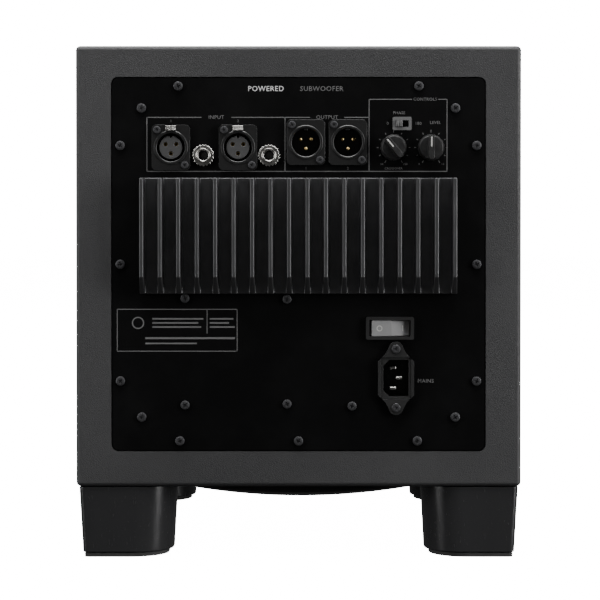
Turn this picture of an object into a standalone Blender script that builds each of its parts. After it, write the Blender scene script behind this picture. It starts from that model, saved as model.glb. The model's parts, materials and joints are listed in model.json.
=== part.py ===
"""Powered subwoofer, modelled as the separate pieces that it is built from.

Metres, +Z up. The amplifier side faces -Y and the front baffle faces +Y.
The origin is under the middle of the whole object, on the surface it stands on.
"""
import math

import bmesh
import bpy
from mathutils import Euler, Matrix, Vector

# Clearances and mesh fineness
GAP = 0.0003                   # between pieces that touch
WELD = 0.000005                # points nearer than this are one point
REACH = 0.004                  # how far a cutter runs past the face it cuts
SMALL_CHAMFER = 0.0004
FINE = 32                      # sides of the large round pieces
MEDIUM = 20                    # sides of connectors and pots
COARSE = 8                     # sides of pins, vents and leads

# Cabinet: MDF boards under a vinyl wrap
CABINET_WIDTH = 0.304
CABINET_HEIGHT = 0.301
CABINET_DEPTH = 0.360
BOARD = 0.015
WRAP = 0.0004
EDGE_RADIUS = 0.003
BRACE_THICKNESS = 0.012
BRACE_RIM = 0.040
BRACE_CORNER = 0.020
BRACE_BEHIND_AMP = 0.018
BRACE_ABOVE_DRIVER = 0.045
WADDING_THICKNESS = 0.016
WADDING_MARGIN = 0.020

# Feet, one under each corner, and their rubber pads
FOOT_HEIGHT = 0.049
FOOT_TOP_SIZE = 0.066
FOOT_BOTTOM_SIZE = 0.059
FOOT_INSET = 0.0017
FOOT_LEAN = 0.0024
FOOT_CORNER = 0.027
FOOT_OUTER_CORNER = 0.004
PAD_THICKNESS = 0.003
PAD_INSET = 0.001

# Front: reflex port and power light
PORT_BORE = 0.033
PORT_WALL = 0.003
PORT_LENGTH = 0.165
PORT_FLARE = 0.018
PORT_LIP = 0.006
PORT_PROUD = 0.002
PORT_BELOW_TOP = 0.080
INNER_FLARE = 0.008
LED_RADIUS = 0.0025
LED_PROUD = 0.0012
LED_ABOVE_BOTTOM = 0.026
LED_LENGTH = 0.009

# Driver, facing down through the bottom board
BASKET_MOUTH = 0.088
FLANGE_WIDTH = 0.015
FLANGE_THICKNESS = 0.003
BASKET_METAL = 0.0018
BASKET_CLEARANCE = 0.0018      # between the basket and its hole
SHELF_RADIUS = 0.064
SHELF_HEIGHT = 0.044
NECK_RADIUS = 0.047
BASKET_HEIGHT = 0.058
NECK_LIP = 0.004               # the basket's rim, around the coil
BASKET_WINDOWS = 6
WINDOW_WIDTH = 0.036
WINDOW_ABOVE_BOARD = 0.004
WINDOW_BELOW_SHELF = 0.006
CONE_PAPER = 0.0012
CONE_DROP = 0.006              # its edge, below the board's outer face
CONE_TOP = 0.033
DUST_CAP_RADIUS = 0.032
DUST_CAP_RISE = 0.008
COIL_RADIUS = 0.0255
COIL_FORMER = 0.0005
COIL_WINDING = 0.0008
COIL_HEIGHT = 0.012
COIL_END = 0.001               # bare former beyond the winding
COIL_LAP = 0.002               # former inside the cone's neck
COIL_CLEARANCE = 0.0009
ROLL_WIDTH = 0.016             # the surround, between the cone and the basket
ROLL_DEPTH = 0.0095
ROLL_LIP = 0.004
ROLL_RUBBER = 0.0008
ROLL_CLEARANCE = 0.0005
SPIDER_CLOTH = 0.0008
SPIDER_CUP = 0.005
SPIDER_GLUED = 0.009           # its edge, beyond the basket's neck
SPIDER_WALL = 0.006            # its cup's wall, inside the basket's neck
TOP_PLATE_RADIUS = 0.052
TOP_PLATE_THICKNESS = 0.008
MAGNET_RADIUS = 0.060
MAGNET_BORE = 0.031
MAGNET_THICKNESS = 0.020
BACK_PLATE_THICKNESS = 0.008
POLE_VENT = 0.008
SHIELD_METAL = 0.0012
SHIELD_CLEARANCE = 0.0006
GRILLE_CLEARANCE = 0.005       # around the driver's flange
GRILLE_RIM = 0.005
GRILLE_METAL = 0.0012
GRILLE_WALL = 0.0095
GRILLE_SHOULDER = 0.004
GRILLE_DOME = 0.0115
GRILLE_STEP = 0.001            # inside, between its wall and its dome
TERMINAL_SIZE = (0.014, 0.008, 0.010)
TERMINAL_BEHIND_NECK = 0.003
LEAD_RADIUS = 0.002
LEAD_START = (0.078, -0.006)   # on the power board, from the plate's middle
LEAD_STRAIGHT = 0.004
LEAD_PULL_INSIDE = 0.110       # how strongly it keeps its direction at its ends, inside the cover
LEAD_PULL_OUTSIDE = 0.060      # and outside it
LEAD_HEADING = 0.3             # at its lowest, towards the front for each metre towards the middle
LEAD_SAG = 0.014               # at its lowest, below the driver's terminals
LEAD_STEPS = 8                 # in each leg

# Amplifier plate, let into the rear board
PLATE_SIZE = 0.254
PLATE_THICKNESS = 0.003
PLATE_CORNER = 0.004
PLATE_RISE = 0.0015            # its middle, above the middle of the rear board
PLATE_REVEAL = 0.0008          # the shadow gap around it
GASKET_THICKNESS = 0.0015
PLATE_RIM = 0.011              # the plate's rest on the rear board
RIM_CHAMFER = 0.032
AMP_DEPTH = 0.062
COVER_METAL = 0.0012
COVER_CLEARANCE = 0.002
LEAD_HOLE = 0.0045
LEAD_EXIT = (0.060, -0.071)

# Heat sink
FIN_COUNT = 18
FIN_PITCH = 0.0125
FIN_ROOT = 0.0036
FIN_TIP = 0.0026
SINK_BASE = 0.003
SINK_PROUD = 0.015
SINK_TOP = 0.059
SINK_BOTTOM = -0.020
SINK_SLOPE = 0.0116            # height over which the fins' lower ends slope away
SINK_TOE = 0.0045              # how far the fins stand out at their lower ends

# Connectors on the plate: middles from the plate's middle
XLR_INPUTS = ((-0.0869, 0.0797), (-0.0412, 0.0797))
XLR_OUTPUTS = ((0.0051, 0.0832), (0.0337, 0.0832))
XLR_FLANGE = (0.026, 0.031)
XLR_FLANGE_THICKNESS = 0.0022
XLR_FLANGE_CORNER = 0.003
XLR_COLLAR = 0.0004
XLR_BARREL = 0.0117
XLR_BORE = 0.0096
XLR_INSERT = 0.0079
XLR_INSERT_SET_BACK = 0.0012
XLR_LENGTH = 0.024
XLR_FLOOR = 0.002
XLR_SOCKET_DEPTH = 0.015
XLR_CONTACT_CIRCLE = 0.0042
XLR_CONTACT = 0.0012
XLR_CONTACT_LENGTH = 0.012
LATCH_SIZE = (0.0070, 0.0036, 0.0020)
LATCH_RISE = 0.0132            # its middle above the socket's middle
LATCH_PROUD = 0.0014
JACKS = ((-0.0649, 0.0743), (-0.0201, 0.0743))
JACK_NUT = 0.0075
JACK_NUT_THICKNESS = 0.0027
JACK_BUSH = 0.0055
JACK_BORE = 0.0033
JACK_BODY = 0.0080
JACK_LENGTH = 0.026
JACK_FLOOR = 0.002
JACK_BORE_CHAMFER = 0.0006
JACK_NUT_CHAMFER = 0.0009

# Controls
KNOBS = {"crossover": ((0.0648, 0.0797), 40.0), "level": ((0.0903, 0.0797), 0.0)}
KNOB_RADIUS = 0.0090
KNOB_SKIRT = 0.0030
KNOB_HEIGHT = 0.0125
KNOB_CLEARANCE = 0.0008        # under the knob
KNOB_CROWN = 0.0015            # the cap over its hollow
KNOB_TAPER = 0.0016
KNOB_BAR = (0.0050, 0.0172)
SHAFT_RADIUS = 0.0030
BUSH_RADIUS = 0.0045
BUSH_LENGTH = 0.0040
POT_RADIUS = 0.0080
POT_LENGTH = 0.0110
POT_END = 0.002                # the pot's back wall
PHASE_SWITCH = (0.0706, 0.0960)
PHASE_BEZEL = (0.0130, 0.0090)
PHASE_BEZEL_THICKNESS = 0.0010
PHASE_CASE = (0.0110, 0.0074)
PHASE_CASE_DEPTH = 0.0090
PHASE_SLOT = (0.0090, 0.0046)
PHASE_SLOT_DEPTH = 0.0060
PHASE_SLIDER_WIDTH = 0.0044
PHASE_SLIDER_PROUD = 0.0028
PHASE_TRAVEL = 0.0038

# Mains switch and inlet
SWITCH = (0.0624, -0.0436)
SWITCH_BEZEL = (0.0327, 0.0154)
SWITCH_BEZEL_THICKNESS = 0.0022
SWITCH_CASE = (0.0304, 0.0132)
SWITCH_CASE_DEPTH = 0.0180
SWITCH_WELL = (0.0281, 0.0113)
SWITCH_WELL_DEPTH = 0.0150
ROCKER_RADIUS = 0.01375
ROCKER_TILT = 8.0
ROCKER_CREST = 0.0063          # its ridge, outward of its pivot
ROCKER_FOOT = (0.010, 0.0070)  # its inner end: width, and depth behind its pivot
ROCKER_END_ANGLE = 14.0        # its round ends go on to this angle behind its pivot
PIVOT_DEPTH = 0.0040
INLET = (0.0665, -0.0777)
INLET_PANEL = (0.0245, 0.0330)
INLET_CHAMFER = 0.005
INLET_EAR_WIDTH = 0.010
INLET_LENGTH = 0.050
INLET_FLANGE_THICKNESS = 0.0025
INLET_CASE = (0.0204, 0.0284)
INLET_CASE_DEPTH = 0.022
INLET_CASE_SET_BACK = 0.0006
INLET_WELL = (0.0172, 0.0252)
INLET_WELL_CHAMFER = 0.003
INLET_WELL_DEPTH = 0.0165
INLET_PIN = (0.0045, 0.0020)
INLET_PIN_LENGTH = 0.0130
INLET_PINS = ((-0.002, 0.007), (0.002, 0.0), (-0.002, -0.007))
INLET_PIN_ROOT = 0.002
CASE_CORNER = 0.0012           # of the switch's bezel and the inlet's case

# Behind the plate
CORE = (-0.0426, -0.0597)
CORE_SIZE = (0.082, 0.084)
CORE_STACK = 0.030
CORE_DEPTH = 0.018             # from the plate's face to the stack
CORE_LEG = 0.028
CORE_WINDOW = (0.014, 0.044)
CORE_CHAMFER = 0.003
WINDING_BUILD = 0.0120
WINDING_CORNER = 0.006
POWER_BOARD = (-0.004, 0.020)
POWER_BOARD_SIZE = (0.200, 0.062)
INPUT_BOARD = (0.0, 0.0780)
INPUT_BOARD_SIZE = (0.184, 0.034)
BOARD_FIBRE = 0.0016
BOARD_CORNER = 0.002
BOARD_DEPTH = 0.027
CAPACITORS = ((-0.030, 0.020), (0.012, 0.020))
CAPACITOR_RADIUS = 0.015
CAPACITOR_LENGTH = 0.030
CAPACITOR_CHAMFER = 0.001

# What follows from those sizes
REAR = -(CABINET_DEPTH + SINK_PROUD + PORT_PROUD) / 2 + SINK_PROUD
FRONT = REAR + CABINET_DEPTH
MIDDLE = (REAR + FRONT) / 2
BASE = FOOT_HEIGHT
TOP = BASE + CABINET_HEIGHT
SKIN = WRAP + GAP              # from the outside to the boards
INSIDE = SKIN + BOARD          # from the outside to the room in the cabinet
HALF_WIDTH = CABINET_WIDTH / 2
REBATE = PLATE_THICKNESS + GAP + GASKET_THICKNESS + GAP
AMP_OPENING = PLATE_SIZE - 2 * PLATE_RIM
FLANGE_SEAT = FLANGE_THICKNESS + GAP
FLANGE_RADIUS = BASKET_MOUTH + FLANGE_WIDTH
CONE_RADIUS = BASKET_MOUTH - ROLL_WIDTH
GRILLE_RADIUS = FLANGE_RADIUS + GRILLE_CLEARANCE
AMP_END = REAR + PLATE_THICKNESS + AMP_DEPTH
DRIVER_TOP = (BASKET_HEIGHT + GAP + TOP_PLATE_THICKNESS + GAP + MAGNET_THICKNESS
              + GAP + BACK_PLATE_THICKNESS + GAP + SHIELD_METAL)


# Tools --------------------------------------------------------------------------------------

def finish(name, colour, roughness, metallic=0.0):
    """A plain surface with its colour, roughness and metallic value."""
    surface = bpy.data.materials.new(name)
    surface.use_nodes = True
    shader = surface.node_tree.nodes["Principled BSDF"]
    shader.inputs["Base Color"].default_value = (*colour, 1.0)
    shader.inputs["Roughness"].default_value = roughness
    shader.inputs["Metallic"].default_value = metallic
    return surface


def add_mount(name, place, turn=(0.0, 0.0, 0.0)):
    """An empty that carries the pieces fixed on one face of the cabinet."""
    mount = bpy.data.objects.new(name, None)
    mount.location = place
    mount.rotation_euler = Euler(turn)
    parts.objects.link(mount)
    return mount


def add_part(name, mesh, surface, mount=None, place=(0.0, 0.0, 0.0), turn=(0.0, 0.0, 0.0)):
    """One piece of the object."""
    part = bpy.data.objects.new(name, mesh)
    part.parent = mount
    part.location = place
    part.rotation_euler = Euler(turn)
    part.data.materials.append(surface)
    parts.objects.link(part)
    return part


def add_cutter(name, mesh, mount=None, place=(0.0, 0.0, 0.0), turn=(0.0, 0.0, 0.0)):
    """A shape that is only cut from, or joined to, a piece."""
    cutter = bpy.data.objects.new(name, mesh)
    cutter.parent = mount
    cutter.location = place
    cutter.rotation_euler = Euler(turn)
    cutter.hide_render = True
    cutter.display_type = "WIRE"
    cutters.objects.link(cutter)
    return cutter


def combine(part, other, operation="DIFFERENCE"):
    """Cut another shape from a piece, or join it on, or keep what they share."""
    boolean = part.modifiers.new(other.name, "BOOLEAN")
    boolean.operation = operation
    boolean.solver = "EXACT"
    boolean.object = other


def mesh_from(bm, name):
    mesh = bpy.data.meshes.new(name)
    bm.to_mesh(mesh)
    bm.free()
    return mesh


def block(low, high):
    """A box between two corners."""
    low, high = Vector(low), Vector(high)
    bm = bmesh.new()
    bmesh.ops.create_cube(bm, size=1.0)
    bmesh.ops.scale(bm, vec=high - low, verts=bm.verts)
    bmesh.ops.translate(bm, vec=(low + high) / 2, verts=bm.verts)
    return mesh_from(bm, "block")


def rod(radius, low, high, sides, middle=(0.0, 0.0)):
    """A cylinder along Z."""
    bm = bmesh.new()
    bmesh.ops.create_cone(bm, cap_ends=True, segments=sides, radius1=radius, radius2=radius,
                          depth=high - low)
    bmesh.ops.translate(bm, vec=(*middle, (low + high) / 2), verts=bm.verts)
    return mesh_from(bm, "rod")


def arc(centre, radius, start, end, steps):
    """Points along an arc, with its angles in degrees."""
    points = []
    for step in range(steps + 1):
        angle = math.radians(start + (end - start) * step / steps)
        points.append((centre[0] + radius * math.cos(angle), centre[1] + radius * math.sin(angle)))
    return points


def rounded(size, corner, middle=(0.0, 0.0), steps=4):
    """The outline of a rectangle with round corners; corner is one radius or four."""
    radii = corner if isinstance(corner, tuple) else (corner,) * 4
    half = (size[0] / 2, size[1] / 2)
    signs = ((1, 1), (-1, 1), (-1, -1), (1, -1))
    points = []
    for index, (radius, sign) in enumerate(zip(radii, signs)):
        centre = (middle[0] + sign[0] * (half[0] - radius), middle[1] + sign[1] * (half[1] - radius))
        points += arc(centre, radius, 90 * index, 90 * index + 90, steps)
    return points


def chamfered(size, chamfer, middle=(0.0, 0.0)):
    """The outline of a rectangle with cut corners."""
    return rounded(size, chamfer, middle, steps=1)


def circle(radius, middle, sides):
    return arc(middle, radius, 0, 360 * (sides - 1) / sides, sides - 1)


def sheet(outlines, low, high):
    """A flat solid from low to high along Z: an outline, and the outlines of its holes."""
    curve = bpy.data.curves.new("outline", "CURVE")
    curve.dimensions = "2D"
    curve.fill_mode = "BOTH"
    curve.extrude = (high - low) / 2
    for points in outlines:
        spline = curve.splines.new("POLY")
        spline.points.add(len(points) - 1)
        spline.use_cyclic_u = True
        for point, (x, y) in zip(spline.points, points):
            point.co = (x, y, 0.0, 1.0)
    return solid_from(curve, Matrix.Translation((0.0, 0.0, (low + high) / 2)))


def tube(points, radius, resolution):
    """A round lead along a list of points, closed at both ends."""
    curve = bpy.data.curves.new("lead", "CURVE")
    curve.dimensions = "3D"
    curve.bevel_depth = radius
    curve.bevel_resolution = resolution
    curve.use_fill_caps = True
    spline = curve.splines.new("POLY")
    spline.points.add(len(points) - 1)
    for point, place in zip(spline.points, points):
        point.co = (*place, 1.0)
    return solid_from(curve, Matrix.Identity(4))


def solid_from(curve, move):
    """The closed mesh of a curve, with its caps welded on."""
    holder = bpy.data.objects.new("outline", curve)
    cutters.objects.link(holder)
    ready = holder.evaluated_get(bpy.context.evaluated_depsgraph_get())
    mesh = bpy.data.meshes.new_from_object(ready)
    bpy.data.objects.remove(holder)
    bm = bmesh.new()
    bm.from_mesh(mesh)
    bmesh.ops.remove_doubles(bm, verts=bm.verts, dist=WELD)
    bmesh.ops.recalc_face_normals(bm, faces=bm.faces)
    bmesh.ops.transform(bm, matrix=move, verts=bm.verts)
    bm.to_mesh(mesh)
    bm.free()
    return mesh


def profile(points, closed):
    """A turned piece's outline, from its top down its outer side, as a chain of edges."""
    mesh = bpy.data.meshes.new("profile")
    edges = [(index, index + 1) for index in range(len(points) - 1)]
    if closed:
        edges.append((len(points) - 1, 0))
    mesh.from_pydata([(radius, 0.0, height) for radius, height in points], edges, [])
    return mesh


def turn_on_lathe(part, sides):
    screw = part.modifiers.new("turn", "SCREW")
    screw.steps = sides
    screw.render_steps = sides
    screw.use_merge_vertices = True
    screw.merge_threshold = WELD
    screw.use_smooth_shade = True


def turned(name, points, surface, sides, mount=None, closed=False, **place):
    """A round piece: its outline turned about its own Z axis."""
    part = add_part(name, profile(points, closed), surface, mount, **place)
    turn_on_lathe(part, sides)
    return part


def shade_round(part):
    part.data.shade_smooth()
    part.data.set_sharp_from_angle(angle=math.radians(35))


# Cabinet ------------------------------------------------------------------------------------

def cabinet_form(name, inset):
    """The cabinet's rounded outer form, set in by a given depth, for cutting."""
    form = add_cutter(name, block((-HALF_WIDTH + inset, REAR + inset, BASE + inset),
                                  (HALF_WIDTH - inset, FRONT - inset, TOP - inset)))
    round_edges(form, EDGE_RADIUS - inset)
    return form


def round_edges(part, radius, segments=3):
    bevel = part.modifiers.new("round", "BEVEL")
    bevel.width = radius
    bevel.segments = segments
    bevel.limit_method = "ANGLE"


def make_cabinet():
    """Six boards, glued edge to edge, and the vinyl that wraps them."""
    boards_form = cabinet_form("boards_form", SKIN)
    side = HALF_WIDTH - INSIDE
    between = side - GAP
    floor = BASE + INSIDE
    ceiling = TOP - INSIDE
    out = REACH
    slabs = {
        "side_panel_left": ((-HALF_WIDTH - out, REAR - out, BASE - out), (-side, FRONT + out, TOP + out)),
        "side_panel_right": ((side, REAR - out, BASE - out), (HALF_WIDTH + out, FRONT + out, TOP + out)),
        "top_panel": ((-between, REAR - out, ceiling), (between, FRONT + out, TOP + out)),
        "bottom_panel": ((-between, REAR - out, BASE - out), (between, FRONT + out, floor)),
        "rear_panel": ((-between, REAR - out, floor + GAP), (between, REAR + INSIDE, ceiling - GAP)),
        "front_baffle": ((-between, FRONT - INSIDE, floor + GAP), (between, FRONT + out, ceiling - GAP)),
    }
    boards = {}
    for name, (low, high) in slabs.items():
        boards[name] = add_part(name, block(low, high), mdf)
        combine(boards[name], boards_form, "INTERSECT")

    wrap = add_part("vinyl_wrap", block((-HALF_WIDTH, REAR, BASE), (HALF_WIDTH, FRONT, TOP)), vinyl)
    round_edges(wrap, EDGE_RADIUS)
    combine(wrap, cabinet_form("wrap_form", WRAP))

    seat = PLATE_SIZE + 2 * PLATE_REVEAL
    rebate = add_cutter("plate_rebate", sheet([rounded((seat, seat), PLATE_CORNER + PLATE_REVEAL)],
                                              -REBATE, REACH), amp_side)
    opening = add_cutter("amp_opening", sheet([amp_outline(0.0)], -INSIDE - REACH, REACH), amp_side)
    port_hole = add_cutter("port_hole", rod(port_hole_radius(), -INSIDE - REACH, REACH, FINE), port_axis)
    led_hole = add_cutter("led_hole", rod(LED_RADIUS + GAP, -INSIDE - REACH, REACH, COARSE), led_axis)
    flange_seat = add_cutter("flange_seat", rod(FLANGE_RADIUS + GAP, -REACH, FLANGE_SEAT, FINE), driver)
    basket_hole = add_cutter("basket_hole", rod(basket_hole_radius(), -REACH, INSIDE + REACH, FINE), driver)
    for hollow in (rebate, port_hole, led_hole, flange_seat):
        combine(wrap, hollow)
    for hollow in (rebate, opening):
        combine(boards["rear_panel"], hollow)
    for hollow in (port_hole, led_hole):
        combine(boards["front_baffle"], hollow)
    for hollow in (flange_seat, basket_hole):
        combine(boards["bottom_panel"], hollow)


def amp_outline(inset):
    """The opening in the rear board: square, with cut corners that leave room for screws."""
    size = AMP_OPENING - 2 * inset
    return chamfered((size, size), RIM_CHAMFER)


def port_hole_radius():
    return PORT_BORE + PORT_FLARE + GAP


def basket_hole_radius():
    return BASKET_MOUTH + 2 * BASKET_METAL + BASKET_CLEARANCE


def make_inside():
    """A window brace from side to side above the driver, and a pad of wadding under the top."""
    side = HALF_WIDTH - INSIDE - GAP
    low = BASE + DRIVER_TOP + BRACE_ABOVE_DRIVER
    back = AMP_END + BRACE_BEHIND_AMP
    front = FRONT - INSIDE - GAP
    brace = add_part("window_brace", block((-side, back, low), (side, front, low + BRACE_THICKNESS)), mdf)
    size = (2 * (side - BRACE_RIM), front - back - 2 * BRACE_RIM)
    window = sheet([rounded(size, BRACE_CORNER, (0.0, (back + front) / 2))], low - REACH,
                   low + BRACE_THICKNESS + REACH)
    combine(brace, add_cutter("brace_opening", window))

    ceiling = TOP - INSIDE - GAP
    pad = block((-side + WADDING_MARGIN, AMP_END + WADDING_MARGIN, ceiling - WADDING_THICKNESS),
                (side - WADDING_MARGIN, FRONT - INSIDE - WADDING_MARGIN, ceiling))
    add_part("wadding", pad, wool)


def make_feet():
    """Four moulded feet that taper to the floor, each on a rubber pad."""
    foot_low = PAD_THICKNESS + GAP
    foot_high = FOOT_HEIGHT - GAP
    for fore, along in (("rear", -1), ("front", 1)):
        for side, across in (("left", -1), ("right", 1)):
            edge = MIDDLE + along * CABINET_DEPTH / 2
            corner = (across * HALF_WIDTH, edge)
            top = foot_outline(corner, across, along, FOOT_INSET, FOOT_TOP_SIZE, FOOT_CORNER)
            bottom = foot_outline(corner, across, along, FOOT_INSET + FOOT_LEAN, FOOT_BOTTOM_SIZE,
                                  FOOT_CORNER)
            pad = foot_outline(corner, across, along, FOOT_INSET + FOOT_LEAN + PAD_INSET,
                               FOOT_BOTTOM_SIZE - 2 * PAD_INSET, FOOT_CORNER - PAD_INSET)
            foot = add_part(f"foot_{fore}_{side}", tapered(bottom, foot_low, top, foot_high), moulding)
            shade_round(foot)
            add_part(f"foot_pad_{fore}_{side}", sheet([pad], 0.0, PAD_THICKNESS), rubber)


def foot_outline(corner, across, along, inset, size, radius):
    """A foot seen from above: nearly square at the cabinet's corner, and round at the others."""
    middle = (corner[0] - across * (inset + size / 2), corner[1] - along * (inset + size / 2))
    signs = ((1, 1), (-1, 1), (-1, -1), (1, -1))
    radii = tuple(FOOT_OUTER_CORNER if sign == (across, along) else radius for sign in signs)
    return rounded((size, size), radii, middle, steps=5)


def tapered(bottom, low, top, high):
    """A solid between two level outlines with the same number of points."""
    bm = bmesh.new()
    rings = [[bm.verts.new((x, y, height)) for x, y in points]
             for points, height in ((bottom, low), (top, high))]
    bm.faces.new(rings[0][::-1])
    bm.faces.new(rings[1])
    bmesh.ops.bridge_loops(bm, edges=[edge for edge in bm.edges])
    bmesh.ops.recalc_face_normals(bm, faces=bm.faces)
    return mesh_from(bm, "foot")


# Front --------------------------------------------------------------------------------------

def make_port():
    """A moulded reflex tube, flared at its mouth and a little at its inner end."""
    mouth = PORT_PROUD
    bend = (PORT_BORE + PORT_FLARE, mouth - PORT_FLARE)
    tail = mouth - PORT_LENGTH
    tail_bend = (PORT_BORE + INNER_FLARE, tail + INNER_FLARE)
    points = [(bend[0] + PORT_LIP, mouth), (bend[0] + PORT_LIP, GAP), (bend[0], GAP)]
    points += arc(bend, PORT_FLARE - PORT_WALL, 90, 180, 3)
    points += arc(tail_bend, INNER_FLARE - PORT_WALL, 180, 270, 2)
    points += arc(tail_bend, INNER_FLARE, 270, 180, 2)
    points += arc(bend, PORT_FLARE, 180, 90, 5)
    turned("port_tube", points, moulding, FINE, port_axis, closed=True)


def make_led():
    """The power light: a small lens in the baffle."""
    points = [(0.0, LED_PROUD)]
    points += arc((0.0, LED_PROUD - LED_RADIUS), LED_RADIUS, 60, 25, 2)
    points += [(LED_RADIUS, LED_PROUD - LED_RADIUS), (LED_RADIUS, -LED_LENGTH), (0.0, -LED_LENGTH)]
    turned("power_led", points, lens, COARSE, led_axis)


# Driver -------------------------------------------------------------------------------------

def make_basket():
    """The pressed steel basket, with windows around its wall."""
    metal = BASKET_METAL
    inner_top = COIL_RADIUS + COIL_WINDING + NECK_LIP
    points = [
        (inner_top, BASKET_HEIGHT), (NECK_RADIUS, BASKET_HEIGHT), (NECK_RADIUS, SHELF_HEIGHT),
        (SHELF_RADIUS, SHELF_HEIGHT), (BASKET_MOUTH + 2 * metal, FLANGE_THICKNESS),
        (FLANGE_RADIUS, FLANGE_THICKNESS), (FLANGE_RADIUS, 0.0), (BASKET_MOUTH, 0.0),
        (BASKET_MOUTH, metal), (SHELF_RADIUS - metal, SHELF_HEIGHT - metal),
        (NECK_RADIUS - metal, SHELF_HEIGHT - metal), (NECK_RADIUS - metal, BASKET_HEIGHT - metal),
        (inner_top, BASKET_HEIGHT - metal),
    ]
    basket = turned("driver_frame", points, black_steel, FINE, driver, closed=True)
    low = INSIDE + WINDOW_ABOVE_BOARD
    high = SHELF_HEIGHT - WINDOW_BELOW_SHELF
    for index in range(BASKET_WINDOWS):
        angle = 360 * (index + 0.5) / BASKET_WINDOWS
        window = block((NECK_RADIUS + REACH, -WINDOW_WIDTH / 2, low),
                       (BASKET_MOUTH + 2 * REACH, WINDOW_WIDTH / 2, high))
        cutter = add_cutter(f"basket_window_{index + 1}", window, driver, turn=(0, 0, math.radians(angle)))
        combine(basket, cutter)


def make_moving_parts():
    """The cone, its dust cap and its voice coil, which travel together."""
    neck = COIL_RADIUS + GAP
    edge = (CONE_RADIUS, -CONE_DROP)
    slope = (CONE_TOP + CONE_DROP) / (CONE_RADIUS - neck)
    thick = CONE_PAPER * math.hypot(1.0, slope)
    cone = [(neck, CONE_TOP + thick), (CONE_RADIUS, -CONE_DROP + thick), edge, (neck, CONE_TOP)]
    turned("driver_cone", cone, pulp, FINE, cone_axis, closed=True)

    rim = -CONE_DROP + (CONE_RADIUS - DUST_CAP_RADIUS) * slope - GAP * math.hypot(1.0, slope)
    ball = (DUST_CAP_RADIUS ** 2 + DUST_CAP_RISE ** 2) / (2 * DUST_CAP_RISE)
    spread = math.degrees(math.asin(DUST_CAP_RADIUS / ball))
    centre = (0.0, rim - DUST_CAP_RISE + ball)
    inside = arc(centre, ball - CONE_PAPER, 270, 270 + spread - 2, 3)
    outside = arc(centre, ball, 270 + spread - 2, 270, 3)
    turned("driver_dust_cap", inside + outside, pulp, FINE, cone_axis)

    gap_middle = BASKET_HEIGHT + GAP + TOP_PLATE_THICKNESS / 2
    top = gap_middle + COIL_HEIGHT / 2
    bottom = gap_middle - COIL_HEIGHT / 2
    bore = COIL_RADIUS - COIL_FORMER
    wound = COIL_RADIUS + COIL_WINDING
    coil = [(bore, top + COIL_END), (COIL_RADIUS, top + COIL_END), (COIL_RADIUS, top), (wound, top),
            (wound, bottom), (COIL_RADIUS, bottom), (COIL_RADIUS, CONE_TOP - COIL_LAP),
            (bore, CONE_TOP - COIL_LAP)]
    turned("driver_voice_coil", coil, copper, FINE, cone_axis, closed=True)


def make_suspension():
    """The surround, a half roll of rubber around the cone, and the spider, which centres the coil."""
    lip = BASKET_MOUTH + ROLL_LIP
    glued = CONE_RADIUS - ROLL_LIP
    under_cone = -CONE_DROP - GAP
    front = [(lip, -GAP - ROLL_RUBBER)] + roll(0.0, ROLL_RUBBER) + [(glued, under_cone - ROLL_RUBBER)]
    back = [(lip, -GAP)] + roll(ROLL_RUBBER, 0.0) + [(glued, under_cone)]
    turned("driver_surround", back[:1] + front + back[:0:-1], rubber, FINE, driver, closed=True)

    shelf = SHELF_HEIGHT - BASKET_METAL - GAP
    edge = NECK_RADIUS + SPIDER_GLUED
    wall = NECK_RADIUS - SPIDER_WALL
    hub = COIL_RADIUS + GAP
    low = shelf - SPIDER_CUP
    spider = [(edge, shelf), (edge, shelf - SPIDER_CLOTH), (wall + SPIDER_CLOTH, shelf - SPIDER_CLOTH),
              (wall, low - SPIDER_CLOTH), (hub, low - SPIDER_CLOTH), (hub, low),
              (wall - SPIDER_CLOTH, low), (wall, shelf)]
    turned("driver_spider", spider, cloth, FINE, driver, closed=True)


def roll(inset, drop, steps=6):
    """The surround's half roll: half an ellipse that hangs from the basket's edge and the cone's."""
    middle = (CONE_RADIUS + BASKET_MOUTH) / 2
    half = (BASKET_MOUTH - CONE_RADIUS) / 2 - ROLL_CLEARANCE
    depth = ROLL_DEPTH - ROLL_RUBBER - GAP - CONE_DROP / 2
    points = []
    for step in range(steps + 1):
        angle = math.pi * step / steps
        line = -GAP - CONE_DROP * step / steps
        points.append((middle + (half - inset) * math.cos(angle), line - drop - depth * math.sin(angle)))
    return points


def make_motor():
    """The magnet between its steel plates, in a shielding can."""
    low = BASKET_HEIGHT + GAP
    top = low + TOP_PLATE_THICKNESS
    slot = COIL_RADIUS + COIL_WINDING + COIL_CLEARANCE
    turned("driver_top_plate", [(slot, top), (TOP_PLATE_RADIUS, top), (TOP_PLATE_RADIUS, low), (slot, low)],
           bare_steel, FINE, driver, closed=True)

    magnet_low = top + GAP
    magnet_top = magnet_low + MAGNET_THICKNESS
    ring = [(MAGNET_BORE, magnet_top), (MAGNET_RADIUS, magnet_top), (MAGNET_RADIUS, magnet_low),
            (MAGNET_BORE, magnet_low)]
    turned("driver_magnet", ring, ferrite, FINE, driver, closed=True)

    plate_low = magnet_top + GAP
    plate_top = plate_low + BACK_PLATE_THICKNESS
    pole = COIL_RADIUS - COIL_FORMER - COIL_CLEARANCE
    yoke = [(POLE_VENT, plate_top), (TOP_PLATE_RADIUS, plate_top), (TOP_PLATE_RADIUS, plate_low),
            (pole, plate_low), (pole, low), (POLE_VENT, low)]
    turned("driver_back_plate", yoke, bare_steel, FINE, driver, closed=True)

    inner = MAGNET_RADIUS + SHIELD_CLEARANCE
    outer = inner + SHIELD_METAL
    roof = plate_top + GAP
    can = [(POLE_VENT, roof + SHIELD_METAL), (outer, roof + SHIELD_METAL), (outer, low), (inner, low),
           (inner, roof), (POLE_VENT, roof)]
    turned("driver_shield_can", can, bare_steel, FINE, driver, closed=True)


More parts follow.
